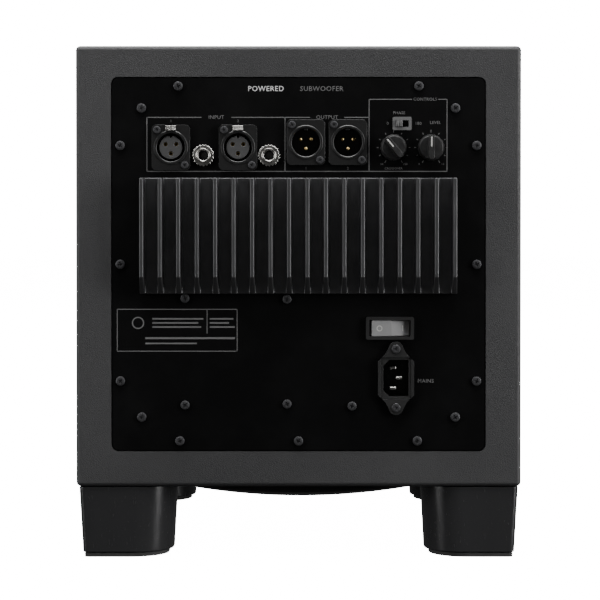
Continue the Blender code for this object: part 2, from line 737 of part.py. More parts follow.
def make_grille():
    """The domed steel guard under the driver."""
    wall = GRILLE_RADIUS
    rim_low = -GAP - GRILLE_METAL
    shoulder = -GAP - GRILLE_WALL
    reach = wall - GRILLE_SHOULDER
    ball = (reach ** 2 + GRILLE_DOME ** 2) / (2 * GRILLE_DOME)
    spread = math.degrees(math.asin(reach / ball))
    centre = (0.0, shoulder - GRILLE_SHOULDER - GRILLE_DOME + ball)
    inside = arc(centre, ball - GRILLE_METAL, 270, 270 + spread - 1, 4)
    outside = arc(centre, ball, 270 + spread, 270, 4)
    corner = (wall - GRILLE_SHOULDER, shoulder)
    points = inside + [(wall - GRILLE_METAL, shoulder + GRILLE_STEP), (wall - GRILLE_METAL, -GAP)]
    points += [(wall + GRILLE_RIM, -GAP), (wall + GRILLE_RIM, rim_low), (wall, rim_low)]
    points += arc(corner, GRILLE_SHOULDER, 0, -60, 2) + outside
    turned("driver_grille", points, black_steel, FINE, driver)


def make_driver_wiring():
    """The driver's terminals, on the basket's shelf, and the lead from the amplifier to them."""
    width, depth, height = TERMINAL_SIZE
    seat = SHELF_HEIGHT + GAP
    near = -(NECK_RADIUS + TERMINAL_BEHIND_NECK)
    far = near - depth
    terminals = block((-width / 2, far, seat), (width / 2, near, seat + height))
    add_part("driver_terminals", terminals, fibre, driver)

    start = Vector((LEAD_START[0], REAR + BOARD_DEPTH + BOARD_FIBRE + GAP, plate_height() + LEAD_START[1]))
    exit_hole = Vector((LEAD_EXIT[0], AMP_END, plate_height() + LEAD_EXIT[1]))
    end = Vector((0.0, MIDDLE + far - GAP, BASE + seat + height / 2))
    lowest = Vector(((exit_hole.x + end.x) / 2, (exit_hole.y + end.y) / 2, end.z - LEAD_SAG))
    ahead = Vector((0.0, LEAD_STRAIGHT, 0.0))
    inside = Vector((0.0, LEAD_PULL_INSIDE, 0.0))
    outside = Vector((0.0, LEAD_PULL_OUTSIDE, 0.0))
    across = Vector((end.x - exit_hole.x, LEAD_HEADING * (end.y - exit_hole.y), 0.0))
    route = [start] + leg(start + ahead, inside, exit_hole - ahead, inside) + [exit_hole - ahead]
    route += leg(exit_hole + ahead, outside, lowest, across) + leg(lowest, across, end - ahead, outside)
    route += [end - ahead, end]
    add_part("speaker_lead", tube(route, LEAD_RADIUS, 2), black_pvc)


def leg(start, start_pull, end, end_pull):
    """Points on a smooth curve that leaves one place and reaches the next in set directions."""
    points = []
    for step in range(LEAD_STEPS):
        t = step / LEAD_STEPS
        places = (2 * t ** 3 - 3 * t ** 2 + 1) * start + (3 * t ** 2 - 2 * t ** 3) * end
        points.append(places + (t ** 3 - 2 * t ** 2 + t) * start_pull + (t ** 3 - t ** 2) * end_pull)
    return points


# Amplifier ----------------------------------------------------------------------------------

def plate_height():
    return BASE + CABINET_HEIGHT / 2 + PLATE_RISE


def make_plate():
    """The amplifier's steel plate, with the holes for all that it carries, on a foam gasket."""
    holes = [circle(XLR_BARREL + GAP, middle, MEDIUM) for middle in XLR_INPUTS + XLR_OUTPUTS]
    holes += [circle(JACK_BUSH + GAP, middle, MEDIUM) for middle in JACKS]
    holes += [circle(BUSH_RADIUS + GAP, middle, MEDIUM) for middle, _ in KNOBS.values()]
    for case, middle in ((PHASE_CASE, PHASE_SWITCH), (SWITCH_CASE, SWITCH), (INLET_CASE, INLET)):
        holes.append(chamfered((case[0] + 2 * GAP, case[1] + 2 * GAP), GAP, middle))
    outline = rounded((PLATE_SIZE, PLATE_SIZE), PLATE_CORNER)
    add_part("amp_plate", sheet([outline] + holes, -PLATE_THICKNESS, 0.0), black_paint, amp_side)

    top = -PLATE_THICKNESS - GAP
    add_part("amp_gasket", sheet([outline, amp_outline(0.0)], top - GASKET_THICKNESS, top), foam, amp_side)


def make_heat_sink():
    """A cast aluminium sink: a base with upright fins, whose lower ends slope to the base."""
    base = SINK_BASE + GAP
    half = FIN_PITCH * (FIN_COUNT - 1) / 2
    edge = half + FIN_ROOT / 2
    comb = [(-edge, GAP), (edge, GAP)]
    for index in range(FIN_COUNT):
        middle = half - index * FIN_PITCH
        comb += [(middle + FIN_ROOT / 2, base), (middle + FIN_TIP / 2, SINK_PROUD),
                 (middle - FIN_TIP / 2, SINK_PROUD), (middle - FIN_ROOT / 2, base)]
    upright = Matrix.Rotation(math.radians(90), 4, "X")
    mesh = sheet([comb], -SINK_TOP, -SINK_BOTTOM)
    mesh.transform(upright)
    sink = add_part("heat_sink", mesh, black_casting, amp_side)

    lean = math.atan2(SINK_PROUD - SINK_TOE, SINK_SLOPE)
    wedge = block((-edge - REACH, -SINK_TOP, 0.0), (edge + REACH, SINK_TOP, 2 * SINK_PROUD))
    slope = add_cutter("sink_slope", wedge, amp_side, place=(0.0, SINK_BOTTOM, SINK_TOE), turn=(lean, 0, 0))
    combine(sink, slope)


def make_cover():
    """The folded steel cover that closes the electronics off from the cabinet's air."""
    outer = amp_outline(COVER_CLEARANCE)
    inner = amp_outline(COVER_CLEARANCE + COVER_METAL)
    mouth = -PLATE_THICKNESS - GAP
    end = -PLATE_THICKNESS - AMP_DEPTH
    cover = add_part("amp_cover", sheet([outer], end, mouth), galvanised, amp_side)
    combine(cover, add_cutter("cover_room", sheet([inner], end + COVER_METAL, mouth + REACH), amp_side))
    hole = rod(LEAD_HOLE, end - REACH, end + COVER_METAL + REACH, COARSE, LEAD_EXIT)
    combine(cover, add_cutter("lead_hole", hole, amp_side))


def make_xlr(name, middle, female):
    """A panel socket: a flange, a barrel through the plate, and an insert or three pins."""
    face = GAP + XLR_FLANGE_THICKNESS + XLR_COLLAR
    back = -XLR_LENGTH
    if female:
        floor = back + XLR_FLOOR
        insert = face - XLR_INSERT_SET_BACK
        inside = [(0.0, insert), (XLR_INSERT, insert), (XLR_INSERT, floor), (XLR_BORE, floor)]
    else:
        floor = face - XLR_SOCKET_DEPTH
        inside = [(0.0, floor), (XLR_BORE, floor)]
    points = inside + [(XLR_BORE, face), (XLR_BARREL, face), (XLR_BARREL, back), (0.0, back)]
    place = (*middle, 0.0)
    socket = turned(name, points, nickel if female else black_paint, MEDIUM, amp_side, place=place)
    ring = circle((XLR_BORE + XLR_BARREL) / 2, (0.0, 0.0), MEDIUM)
    flange = sheet([rounded(XLR_FLANGE, XLR_FLANGE_CORNER), ring], GAP, GAP + XLR_FLANGE_THICKNESS)
    combine(socket, add_cutter(f"{name}_flange", flange, amp_side, place=place), "UNION")
    contact_floor = insert - XLR_CONTACT_LENGTH if female else floor - XLR_FLOOR
    contact_top = face + REACH if female else floor + XLR_CONTACT_LENGTH
    for index, angle in enumerate((30, 150, 270)):
        spot = arc((0.0, 0.0), XLR_CONTACT_CIRCLE, angle, angle, 1)[0]
        contact = rod(XLR_CONTACT, contact_floor, contact_top, COARSE, spot)
        cutter = add_cutter(f"{name}_contact_{index + 1}", contact, amp_side, place=place)
        combine(socket, cutter, "DIFFERENCE" if female else "UNION")
    if female:
        width, height, _ = LATCH_SIZE
        notch = block((-width / 2 - GAP, LATCH_RISE - height / 2 - GAP, -GAP),
                      (width / 2 + GAP, XLR_FLANGE[1] / 2 + REACH, face + REACH))
        combine(socket, add_cutter(f"{name}_notch", notch, amp_side, place=place))
    return socket


def make_latch(name, middle):
    """The spring latch that lets a plug go: a tab over its socket."""
    width, height, thickness = LATCH_SIZE
    top = GAP + XLR_FLANGE_THICKNESS + LATCH_PROUD
    tab = add_part(name, block((-width / 2, -height / 2, -thickness), (width / 2, height / 2, 0.0)), nickel,
                   amp_side, place=(middle[0], middle[1] + LATCH_RISE, top))
    round_edges(tab, SMALL_CHAMFER, segments=1)


def make_jack(name, middle):
    """A phone jack: its nut and bush in front of the plate, and its body behind."""
    nut = GAP + JACK_NUT_THICKNESS
    body = -PLATE_THICKNESS - GAP
    floor = -JACK_LENGTH + JACK_FLOOR
    points = [(0.0, floor), (JACK_BORE, floor), (JACK_BORE, nut - JACK_BORE_CHAMFER),
              (JACK_BORE + JACK_BORE_CHAMFER, nut), (JACK_NUT - JACK_NUT_CHAMFER, nut),
              (JACK_NUT, nut - JACK_NUT_CHAMFER), (JACK_NUT, GAP), (JACK_BUSH, GAP), (JACK_BUSH, body),
              (JACK_BODY, body), (JACK_BODY, -JACK_LENGTH), (0.0, -JACK_LENGTH)]
    turned(name, points, nickel, MEDIUM, amp_side, place=(*middle, 0.0))


def make_control(name, middle, rest):
    """A rotary control: the pot, fixed behind the plate, and its knob with the shaft in it."""
    bore = SHAFT_RADIUS + GAP
    back = -PLATE_THICKNESS - GAP
    end = back - POT_LENGTH
    floor = end + POT_END
    under = BUSH_LENGTH + KNOB_CLEARANCE
    pot = [(0.0, floor), (bore, floor), (bore, BUSH_LENGTH), (BUSH_RADIUS, BUSH_LENGTH),
           (BUSH_RADIUS, back), (POT_RADIUS, back), (POT_RADIUS, end), (0.0, end)]
    turned(f"{name}_pot", pot, bare_steel, MEDIUM, amp_side, place=(*middle, 0.0))

    hollow = BUSH_RADIUS + KNOB_CLEARANCE
    skirt = KNOB_CLEARANCE + KNOB_SKIRT
    crown = under + KNOB_CROWN
    knob = [(0.0, crown), (KNOB_RADIUS - KNOB_TAPER, crown), (KNOB_RADIUS, skirt),
            (KNOB_RADIUS, KNOB_CLEARANCE), (hollow, KNOB_CLEARANCE), (hollow, under),
            (SHAFT_RADIUS, under), (SHAFT_RADIUS, floor + GAP), (0.0, floor + GAP)]
    place = (*middle, 0.0)
    turn = (0.0, 0.0, math.radians(rest))
    part = turned(f"{name}_knob", knob, black_plastic, MEDIUM, amp_side, place=place, turn=turn)
    bar = sheet([rounded(KNOB_BAR, KNOB_BAR[0] / 2 - WELD)], crown - KNOB_CROWN / 2,
                KNOB_CLEARANCE + KNOB_HEIGHT)
    combine(part, add_cutter(f"{name}_bar", bar, amp_side, place=place, turn=turn), "UNION")


def make_phase_switch():
    """A two-way slide switch: its case, with a bezel on the plate, and its slider."""
    bezel = block((-PHASE_BEZEL[0] / 2, -PHASE_BEZEL[1] / 2, GAP),
                  (PHASE_BEZEL[0] / 2, PHASE_BEZEL[1] / 2, GAP + PHASE_BEZEL_THICKNESS))
    case = block((-PHASE_CASE[0] / 2, -PHASE_CASE[1] / 2, -PHASE_CASE_DEPTH),
                 (PHASE_CASE[0] / 2, PHASE_CASE[1] / 2, GAP + PHASE_BEZEL_THICKNESS / 2))
    slot = block((-PHASE_SLOT[0] / 2, -PHASE_SLOT[1] / 2, -PHASE_SLOT_DEPTH),
                 (PHASE_SLOT[0] / 2, PHASE_SLOT[1] / 2, REACH))
    place = (*PHASE_SWITCH, 0.0)
    body = add_part("phase_switch_body", bezel, grey_plastic, amp_side, place=place)
    combine(body, add_cutter("phase_case", case, amp_side, place=place), "UNION")
    combine(body, add_cutter("phase_slot", slot, amp_side, place=place))

    half = PHASE_SLOT[1] / 2 - GAP
    slider = block((-PHASE_SLIDER_WIDTH / 2, -half, -PHASE_SLOT_DEPTH + GAP),
                   (PHASE_SLIDER_WIDTH / 2, half, PHASE_SLIDER_PROUD))
    add_part("phase_switch_slider", slider, black_plastic, amp_side,
             place=(PHASE_SWITCH[0] - PHASE_TRAVEL / 2, PHASE_SWITCH[1], 0.0))


def make_power_switch():
    """The mains switch: a snap-in case, and a rocker at rest on one side."""
    bezel = sheet([rounded(SWITCH_BEZEL, CASE_CORNER, steps=2)], GAP, GAP + SWITCH_BEZEL_THICKNESS)
    case = block((-SWITCH_CASE[0] / 2, -SWITCH_CASE[1] / 2, -SWITCH_CASE_DEPTH),
                 (SWITCH_CASE[0] / 2, SWITCH_CASE[1] / 2, GAP + SWITCH_BEZEL_THICKNESS / 2))
    well = block((-SWITCH_WELL[0] / 2, -SWITCH_WELL[1] / 2, -SWITCH_WELL_DEPTH),
                 (SWITCH_WELL[0] / 2, SWITCH_WELL[1] / 2, REACH))
    place = (*SWITCH, 0.0)
    housing = add_part("power_switch_housing", bezel, black_plastic, amp_side, place=place)
    combine(housing, add_cutter("switch_case", case, amp_side, place=place), "UNION")
    combine(housing, add_cutter("switch_well", well, amp_side, place=place))

    tilt = math.radians(ROCKER_TILT)
    angle = math.degrees(math.acos(rocker_end(tilt) / ROCKER_RADIUS))
    side = arc((0.0, 0.0), ROCKER_RADIUS, angle, -ROCKER_END_ANGLE, 3)
    side.append((ROCKER_FOOT[0] / 2, -ROCKER_FOOT[1]))
    outline = [(0.0, ROCKER_CREST)] + side + [(-x, y) for x, y in side[::-1]]
    half = SWITCH_WELL[1] / 2 - GAP
    mesh = sheet([outline], -half, half)
    mesh.transform(Matrix.Rotation(math.radians(90), 4, "X"))
    rocker = add_part("power_rocker", mesh, grey_plastic, amp_side, place=(*SWITCH, -PIVOT_DEPTH),
                      turn=(0.0, tilt, 0.0))
    round_edges(rocker, SMALL_CHAMFER, segments=1)


def rocker_end(tilt):
    """How far from its pivot's line the rocker's sloping face meets its round end."""
    slope = math.tan(tilt)
    a = 1 + slope ** 2
    b = -2 * ROCKER_CREST * slope
    c = ROCKER_CREST ** 2 - ROCKER_RADIUS ** 2
    return (-b + math.sqrt(b ** 2 - 4 * a * c)) / (2 * a)


def make_inlet():
    """The mains inlet: a flange with two screw ears, and a well with three pins."""
    width, height = INLET_PANEL
    ear = INLET_EAR_WIDTH / 2
    face = GAP + INLET_FLANGE_THICKNESS
    right = [(width / 2, -height / 2 + INLET_CHAMFER), (width / 2, height / 2 - INLET_CHAMFER),
             (width / 2 - INLET_CHAMFER, height / 2)]
    cap = arc((0.0, INLET_LENGTH / 2 - ear), ear, 0, 180, 6)
    upper = right[1:] + cap + [(-x, y) for x, y in right[:0:-1]]
    outline = upper + [(-x, -y) for x, y in upper]
    place = (*INLET, 0.0)
    inlet = add_part("iec_inlet", sheet([outline], GAP, face), black_plastic, amp_side, place=place)
    case = sheet([rounded(INLET_CASE, CASE_CORNER, steps=2)], -INLET_CASE_DEPTH, face - INLET_CASE_SET_BACK)
    well = sheet([chamfered(INLET_WELL, INLET_WELL_CHAMFER)], face - INLET_WELL_DEPTH, face + REACH)
    combine(inlet, add_cutter("inlet_case", case, amp_side, place=place), "UNION")
    combine(inlet, add_cutter("inlet_well", well, amp_side, place=place))
    floor = face - INLET_WELL_DEPTH
    for index, (x, y) in enumerate(INLET_PINS):
        pin = block((x - INLET_PIN[0] / 2, y - INLET_PIN[1] / 2, floor - INLET_PIN_ROOT),
                    (x + INLET_PIN[0] / 2, y + INLET_PIN[1] / 2, floor + INLET_PIN_LENGTH))
        combine(inlet, add_cutter(f"inlet_pin_{index + 1}", pin, amp_side, place=place), "UNION")


def make_electronics():
    """The transformer, the power board with its capacitors, and the board behind the sockets."""
    offset = CORE_LEG / 2 + CORE_WINDOW[0] / 2
    windows = [chamfered(CORE_WINDOW, GAP, (side * offset, 0.0)) for side in (-1, 1)]
    core = sheet([chamfered(CORE_SIZE, CORE_CHAMFER)] + windows, -CORE_DEPTH - CORE_STACK, -CORE_DEPTH)
    place = (*CORE, 0.0)
    add_part("transformer_core", core, lamination, amp_side, place=place)

    inner = (CORE_LEG + 2 * GAP, CORE_STACK + 2 * GAP)
    outer = (inner[0] + 2 * WINDING_BUILD, inner[1] + 2 * WINDING_BUILD)
    half = CORE_WINDOW[1] / 2 - GAP
    winding = sheet([rounded(outer, WINDING_CORNER), chamfered(inner, GAP)], -half, half)
    winding.transform(Matrix.Rotation(math.radians(90), 4, "X"))
    add_part("transformer_winding", winding, copper, amp_side,
             place=(*CORE, -CORE_DEPTH - CORE_STACK / 2))

    top = -BOARD_DEPTH
    for name, middle, size in (("amp_board", POWER_BOARD, POWER_BOARD_SIZE),
                               ("input_board", INPUT_BOARD, INPUT_BOARD_SIZE)):
        outline = rounded(size, BOARD_CORNER, middle, steps=2)
        add_part(name, sheet([outline], top - BOARD_FIBRE, top), fibre, amp_side)
    base = top - BOARD_FIBRE - GAP
    end = base - CAPACITOR_LENGTH
    for index, middle in enumerate(CAPACITORS):
        points = [(0.0, base), (CAPACITOR_RADIUS, base), (CAPACITOR_RADIUS, end + CAPACITOR_CHAMFER),
                  (CAPACITOR_RADIUS - CAPACITOR_CHAMFER, end), (0.0, end)]
        turned(f"reservoir_cap_{index + 1}", points, sleeve, MEDIUM, amp_side, place=(*middle, 0.0))


# The whole object ---------------------------------------------------------------------------

for leftover in list(bpy.data.objects):
    bpy.data.objects.remove(leftover)

parts = bpy.data.collections.new("subwoofer")
cutters = bpy.data.collections.new("cutters")
for collection in (parts, cutters):
    bpy.context.scene.collection.children.link(collection)

vinyl = finish("black_vinyl", (0.045, 0.045, 0.047), 0.55)
mdf = finish("mdf", (0.45, 0.32, 0.20), 0.80)
wool = finish("white_wadding", (0.80, 0.80, 0.78), 0.95)
moulding = finish("black_moulding", (0.020, 0.020, 0.021), 0.42)
rubber = finish("black_rubber", (0.030, 0.030, 0.030), 0.75)
foam = finish("black_foam", (0.020, 0.020, 0.020), 0.90)
lens = finish("clear_lens", (0.75, 0.78, 0.82), 0.15)
black_steel = finish("black_steel", (0.015, 0.015, 0.016), 0.45, 0.3)
bare_steel = finish("bare_steel", (0.55, 0.55, 0.56), 0.35, 1.0)
galvanised = finish("galvanised_steel", (0.60, 0.61, 0.62), 0.45, 1.0)
ferrite = finish("ferrite", (0.060, 0.060, 0.065), 0.50)
pulp = finish("black_paper", (0.025, 0.025, 0.025), 0.70)
copper = finish("copper_wire", (0.72, 0.34, 0.15), 0.35, 1.0)
cloth = finish("treated_cloth", (0.55, 0.40, 0.12), 0.85)
black_pvc = finish("black_pvc", (0.020, 0.020, 0.020), 0.45)
black_paint = finish("black_paint", (0.010, 0.010, 0.011), 0.45)
black_casting = finish("black_casting", (0.018, 0.018, 0.019), 0.38, 0.4)
nickel = finish("nickel", (0.62, 0.60, 0.56), 0.28, 1.0)
black_plastic = finish("black_plastic", (0.020, 0.020, 0.021), 0.40)
grey_plastic = finish("grey_plastic", (0.16, 0.16, 0.165), 0.35)
fibre = finish("board_fibre", (0.10, 0.28, 0.12), 0.50)
lamination = finish("laminated_iron", (0.20, 0.20, 0.21), 0.45, 0.8)
sleeve = finish("capacitor_sleeve", (0.03, 0.03, 0.05), 0.35)

amp_side = add_mount("amp_side", (0.0, REAR, plate_height()), (math.radians(90), 0.0, 0.0))
port_axis = add_mount("port_axis", (0.0, FRONT, TOP - PORT_BELOW_TOP), (math.radians(-90), 0.0, 0.0))
led_axis = add_mount("led_axis", (0.0, FRONT, BASE + LED_ABOVE_BOTTOM), (math.radians(-90), 0.0, 0.0))
driver = add_mount("driver", (0.0, MIDDLE, BASE))
cone_axis = add_mount("cone_axis", (0.0, MIDDLE, BASE))

make_cabinet()
make_inside()
make_feet()
make_port()
make_led()
make_basket()
make_moving_parts()
make_suspension()
make_motor()
make_grille()
make_driver_wiring()
make_plate()
make_heat_sink()
make_cover()
for number, spot in enumerate(XLR_INPUTS):
    make_xlr(f"xlr_input_{number + 1}", spot, female=True)
    make_latch(f"xlr_latch_{number + 1}", spot)
for number, spot in enumerate(XLR_OUTPUTS):
    make_xlr(f"xlr_output_{number + 1}", spot, female=False)
for number, spot in enumerate(JACKS):
    make_jack(f"jack_input_{number + 1}", spot)
for control, (spot, angle_at_rest) in KNOBS.items():
    make_control(control, spot, angle_at_rest)
make_phase_switch()
make_power_switch()
make_inlet()
make_electronics()
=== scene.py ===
"""The finished look of a powered subwoofer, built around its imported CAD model.

Metres, +Z up. The amplifier side faces -Y and the front baffle faces +Y.
The sections follow the object as it is put together, from the cabinet to the sockets.
"""

import json
import math

import bmesh
import bpy
from mathutils import Matrix, Vector, noise

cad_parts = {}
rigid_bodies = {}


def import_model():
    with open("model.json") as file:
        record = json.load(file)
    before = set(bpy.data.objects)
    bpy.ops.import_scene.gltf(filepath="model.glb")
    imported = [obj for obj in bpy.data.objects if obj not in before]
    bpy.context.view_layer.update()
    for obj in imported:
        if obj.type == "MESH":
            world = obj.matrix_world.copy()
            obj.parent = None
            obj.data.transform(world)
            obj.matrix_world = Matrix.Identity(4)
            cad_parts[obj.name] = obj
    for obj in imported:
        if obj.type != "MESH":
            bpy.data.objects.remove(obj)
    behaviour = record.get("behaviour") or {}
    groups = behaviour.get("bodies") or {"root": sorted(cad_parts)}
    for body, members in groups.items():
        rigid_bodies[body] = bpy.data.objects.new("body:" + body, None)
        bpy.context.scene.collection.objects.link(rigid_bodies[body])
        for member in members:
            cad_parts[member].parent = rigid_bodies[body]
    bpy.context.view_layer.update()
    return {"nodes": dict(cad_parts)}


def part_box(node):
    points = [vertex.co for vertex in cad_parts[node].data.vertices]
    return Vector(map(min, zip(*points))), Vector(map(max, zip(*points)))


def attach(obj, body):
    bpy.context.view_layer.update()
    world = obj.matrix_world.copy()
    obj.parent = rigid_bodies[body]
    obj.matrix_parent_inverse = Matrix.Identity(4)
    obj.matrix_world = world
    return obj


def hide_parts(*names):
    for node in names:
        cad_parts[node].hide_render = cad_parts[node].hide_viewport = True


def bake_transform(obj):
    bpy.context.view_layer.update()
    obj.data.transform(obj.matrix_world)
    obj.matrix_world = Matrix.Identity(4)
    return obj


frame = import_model()
nodes = frame["nodes"]

# The room ===================================================================================
# A white studio: a pale floor under a white backdrop, a long-lens camera level with the
# amplifier plate, a strip light at each side of it, and a wide soft light overhead.

VINYL_THICKNESS = 0.0007
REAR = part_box("rear_panel")[0].y - VINYL_THICKNESS      # the amplifier side of the cabinet
CAMERA_HEIGHT = 0.263
CAMERA_ASIDE = 0.018
CAMERA_DISTANCE = 1.710
CAMERA_TILT = 1.0                # degrees down
CAMERA_LENS = 150.5              # millimetres
CAMERA_SHIFT = (-0.0415, -0.138)
WHITE = (1.0, 1.0, 1.0, 1.0)
FLOOR_GLOW = 16.0
BACKDROP_GLOW = 17.0
ROOM_GLOW = 0.05
FLOOR_HALF = 6.0

camera = bpy.data.objects.new("camera", bpy.data.cameras.new("camera"))
camera.location = (CAMERA_ASIDE, REAR - CAMERA_DISTANCE, CAMERA_HEIGHT)
camera.rotation_euler = (math.radians(90 - CAMERA_TILT), 0.0, 0.0)
camera.data.lens = CAMERA_LENS
camera.data.shift_x, camera.data.shift_y = CAMERA_SHIFT
camera.data.clip_end = 30.0
bpy.context.scene.collection.objects.link(camera)
bpy.context.scene.camera = camera


def add_object(name, data):
    """An object in the scene, at the origin, with its place in its mesh."""
    made = bpy.data.objects.new(name, data)
    bpy.context.scene.collection.objects.link(made)
    return made


def mesh_of(bm, name, smooth=35.0):
    """A finished mesh, smooth except across edges sharper than an angle."""
    bmesh.ops.recalc_face_normals(bm, faces=bm.faces)
    mesh = bpy.data.meshes.new(name)
    bm.to_mesh(mesh)
    bm.free()
    mesh.shade_smooth()
    mesh.set_sharp_from_angle(angle=math.radians(smooth))
    return mesh


def add_light(name, place, size, power, aim):
    """A soft rectangular lamp that points at a place."""
    lamp = bpy.data.lights.new(name, "AREA")
    lamp.shape = "RECTANGLE"
    lamp.size = size[0]
    lamp.size_y = size[1]
    lamp.energy = power
    made = add_object(name, lamp)
    made.location = place
    made.rotation_euler = (Vector(aim) - Vector(place)).to_track_quat("-Z", "Y").to_euler()


for name, across, power in (("left_strip", -1.7, 22.0), ("right_strip", 1.7, 44.0)):
    add_light(name, (across, REAR - 0.75, 0.45), (0.5, 1.5), power, (0.0, REAR, 0.2))
add_light("overhead", (0.0, REAR - 0.35, 2.3), (2.2, 1.2), 124.0, (0.0, 0.0, 0.2))
add_light("front_fill", (0.9, 2.4, 1.2), (1.6, 1.2), 45.0, (0.0, 0.1, 0.15))

bm = bmesh.new()
bmesh.ops.create_grid(bm, x_segments=1, y_segments=1, size=FLOOR_HALF)
floor = add_object("floor", mesh_of(bm, "floor"))
pale = bpy.data.materials.new("pale_floor")
pale.use_nodes = True
pale_shader = pale.node_tree.nodes["Principled BSDF"]
pale_shader.inputs["Base Color"].default_value = (0.86, 0.86, 0.86, 1.0)
pale_shader.inputs["Roughness"].default_value = 0.8
pale_shader.inputs["Emission Color"].default_value = WHITE
pale_shader.inputs["Emission Strength"].default_value = FLOOR_GLOW
floor.data.materials.append(pale)
floor.visible_diffuse = False
floor.visible_glossy = False

world = bpy.data.worlds.new("studio")
world.use_nodes = True
studio = world.node_tree
sight = studio.nodes.new("ShaderNodeLightPath")
backdrop = studio.nodes.new("ShaderNodeMapRange")
backdrop.inputs["To Min"].default_value = ROOM_GLOW
backdrop.inputs["To Max"].default_value = BACKDROP_GLOW
studio.links.new(sight.outputs["Is Camera Ray"], backdrop.inputs["Value"])
studio.links.new(backdrop.outputs["Result"], studio.nodes["Background"].inputs["Strength"])
studio.nodes["Background"].inputs["Color"].default_value = WHITE
bpy.context.scene.world = world

# Cabinet wrap ===============================================================================
# A black vinyl with a fine pebbled grain, stretched over the boards and mitred at the edges.
# The edges are rounded by the wrap's own thickness over a sanded edge.

class Value:
    """A socket in a material, on which Python's arithmetic adds Math nodes."""

    def __init__(self, tree, socket):
        self.tree = tree
        self.socket = socket

    def node(self, kind, settings=None, sockets=None, output=0):
        """Add a node: its settings first, then its sockets' values or links."""
        made = self.tree.nodes.new(kind)
        for name, value in (settings or {}).items():
            setattr(made, name, value)
        for name, value in (sockets or {}).items():
            if isinstance(value, Value):
                self.tree.links.new(value.socket, made.inputs[name])
            else:
                made.inputs[name].default_value = value
        return Value(self.tree, made.outputs[output])

    def maths(self, operation, first, *others):
        values = dict(enumerate((first,) + others))
        return self.node("ShaderNodeMath", {"operation": operation}, values)

    def __add__(self, other):
        return self.maths("ADD", self, other)

    def __sub__(self, other):
        return self.maths("SUBTRACT", self, other)

    def __rsub__(self, other):
        return self.maths("SUBTRACT", other, self)

    def __mul__(self, other):
        return self.maths("MULTIPLY", self, other)

    def __lt__(self, other):
        return self.maths("LESS_THAN", self, other)

    __radd__ = __add__
    __rmul__ = __mul__

    def absolute(self):
        return self.maths("ABSOLUTE", self)

    def sine(self):
        return self.maths("SINE", self)

    def between(self, low, high):
        """0 below low and 1 above high, with a straight slope in between."""
        return self.node("ShaderNodeMapRange", None, {"Value": self, "From Min": low, "From Max": high})

    def part(self, axis):
        """One coordinate of a vector: 0, 1 or 2."""
        return self.node("ShaderNodeSeparateXYZ", None, {0: self}, axis)

    def stretched(self, scale, turn=(0.0, 0.0, 0.0), place=(0.0, 0.0, 0.0)):
        """Coordinates scaled by three factors, after a turn and a shift."""
        return self.node("ShaderNodeMapping", None,
                         {"Vector": self, "Scale": scale, "Rotation": turn, "Location": place})

    def noise(self, size, detail=2.0, roughness=0.5):
        """Noise from 0 to 1, whose blotches are about a size across, in metres."""
        return self.node("ShaderNodeTexNoise", None, {"Vector": self, "Scale": 1.0 / size, "Detail": detail,
                                                      "Roughness": roughness})

    def cells(self, size, feature="F1", output=0, randomness=1.0):
        """A Voronoi pattern with cells of a size, in metres."""
        return self.node("ShaderNodeTexVoronoi", {"feature": feature},
                         {"Vector": self, "Scale": 1.0 / size, "Randomness": randomness}, output)

    def between_colours(self, low, high):
        """The first colour where this value is 0, and the second where it is 1."""
        sides = {0: self}
        for socket, colour in ((6, low), (7, high)):
            sides[socket] = colour if isinstance(colour, Value) else (*colour, 1.0)
        return self.node("ShaderNodeMix", {"data_type": "RGBA", "clamp_factor": True}, sides, 2)

    def bump(self, depth, strength=1.0):
        """This height, in units of a depth in metres, as a normal."""
        return self.node("ShaderNodeBump", None, {"Height": self, "Distance": depth, "Strength": strength})


def new_material(name, **constants):
    """A material with what is the same all over it, and its object coordinates."""
    surface = bpy.data.materials.new(name)
    surface.use_nodes = True
    shader = surface.node_tree.nodes["Principled BSDF"]
    for socket, value in constants.items():
        shader.inputs[socket.replace("_", " ").replace("Ior", "IOR")].default_value = value
    coordinates = surface.node_tree.nodes.new("ShaderNodeTexCoord")
    return surface, Value(surface.node_tree, coordinates.outputs["Object"])


def paint(surface, **varying):
    """Link what varies over a material to its shader."""
    shader = surface.node_tree.nodes["Principled BSDF"]
    for socket, value in varying.items():
        surface.node_tree.links.new(value.socket, shader.inputs[socket.replace("_", " ")])
    return surface


def dress(node, surface):
    """Give a CAD node its finished material."""
    nodes[node].data.materials.clear()
    nodes[node].data.materials.append(surface)
    for polygon in nodes[node].data.polygons:
        polygon.material_index = 0


def stand_in(name, shape, surface, body, node=None, smooth=35.0):
    """A finished piece: its shape and material, the body it rides on, and the CAD node it stands for."""
    piece = add_object(name, mesh_of(shape, name, smooth))
    piece.data.materials.append(surface)
    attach(piece, body)
    if node:
        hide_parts(node)
    return piece


def merged(node):
    """A CAD node's shape with its loose triangles joined up, for a finer copy."""
    bm = bmesh.new()
    bm.from_mesh(nodes[node].data)
    bmesh.ops.remove_doubles(bm, verts=bm.verts, dist=0.00001)
    bmesh.ops.dissolve_limit(bm, angle_limit=math.radians(0.5), verts=bm.verts, edges=bm.edges)
    return bm


def even_shading(piece):
    """Keep large flat faces flat beside their rounded edges."""
    weighted = piece.modifiers.new("weighted", "WEIGHTED_NORMAL")
    weighted.keep_sharp = True
    return piece


VINYL_DARK = (0.030, 0.030, 0.031)
VINYL_LIGHT = (0.042, 0.042, 0.043)
VINYL_GRAIN = 0.0011

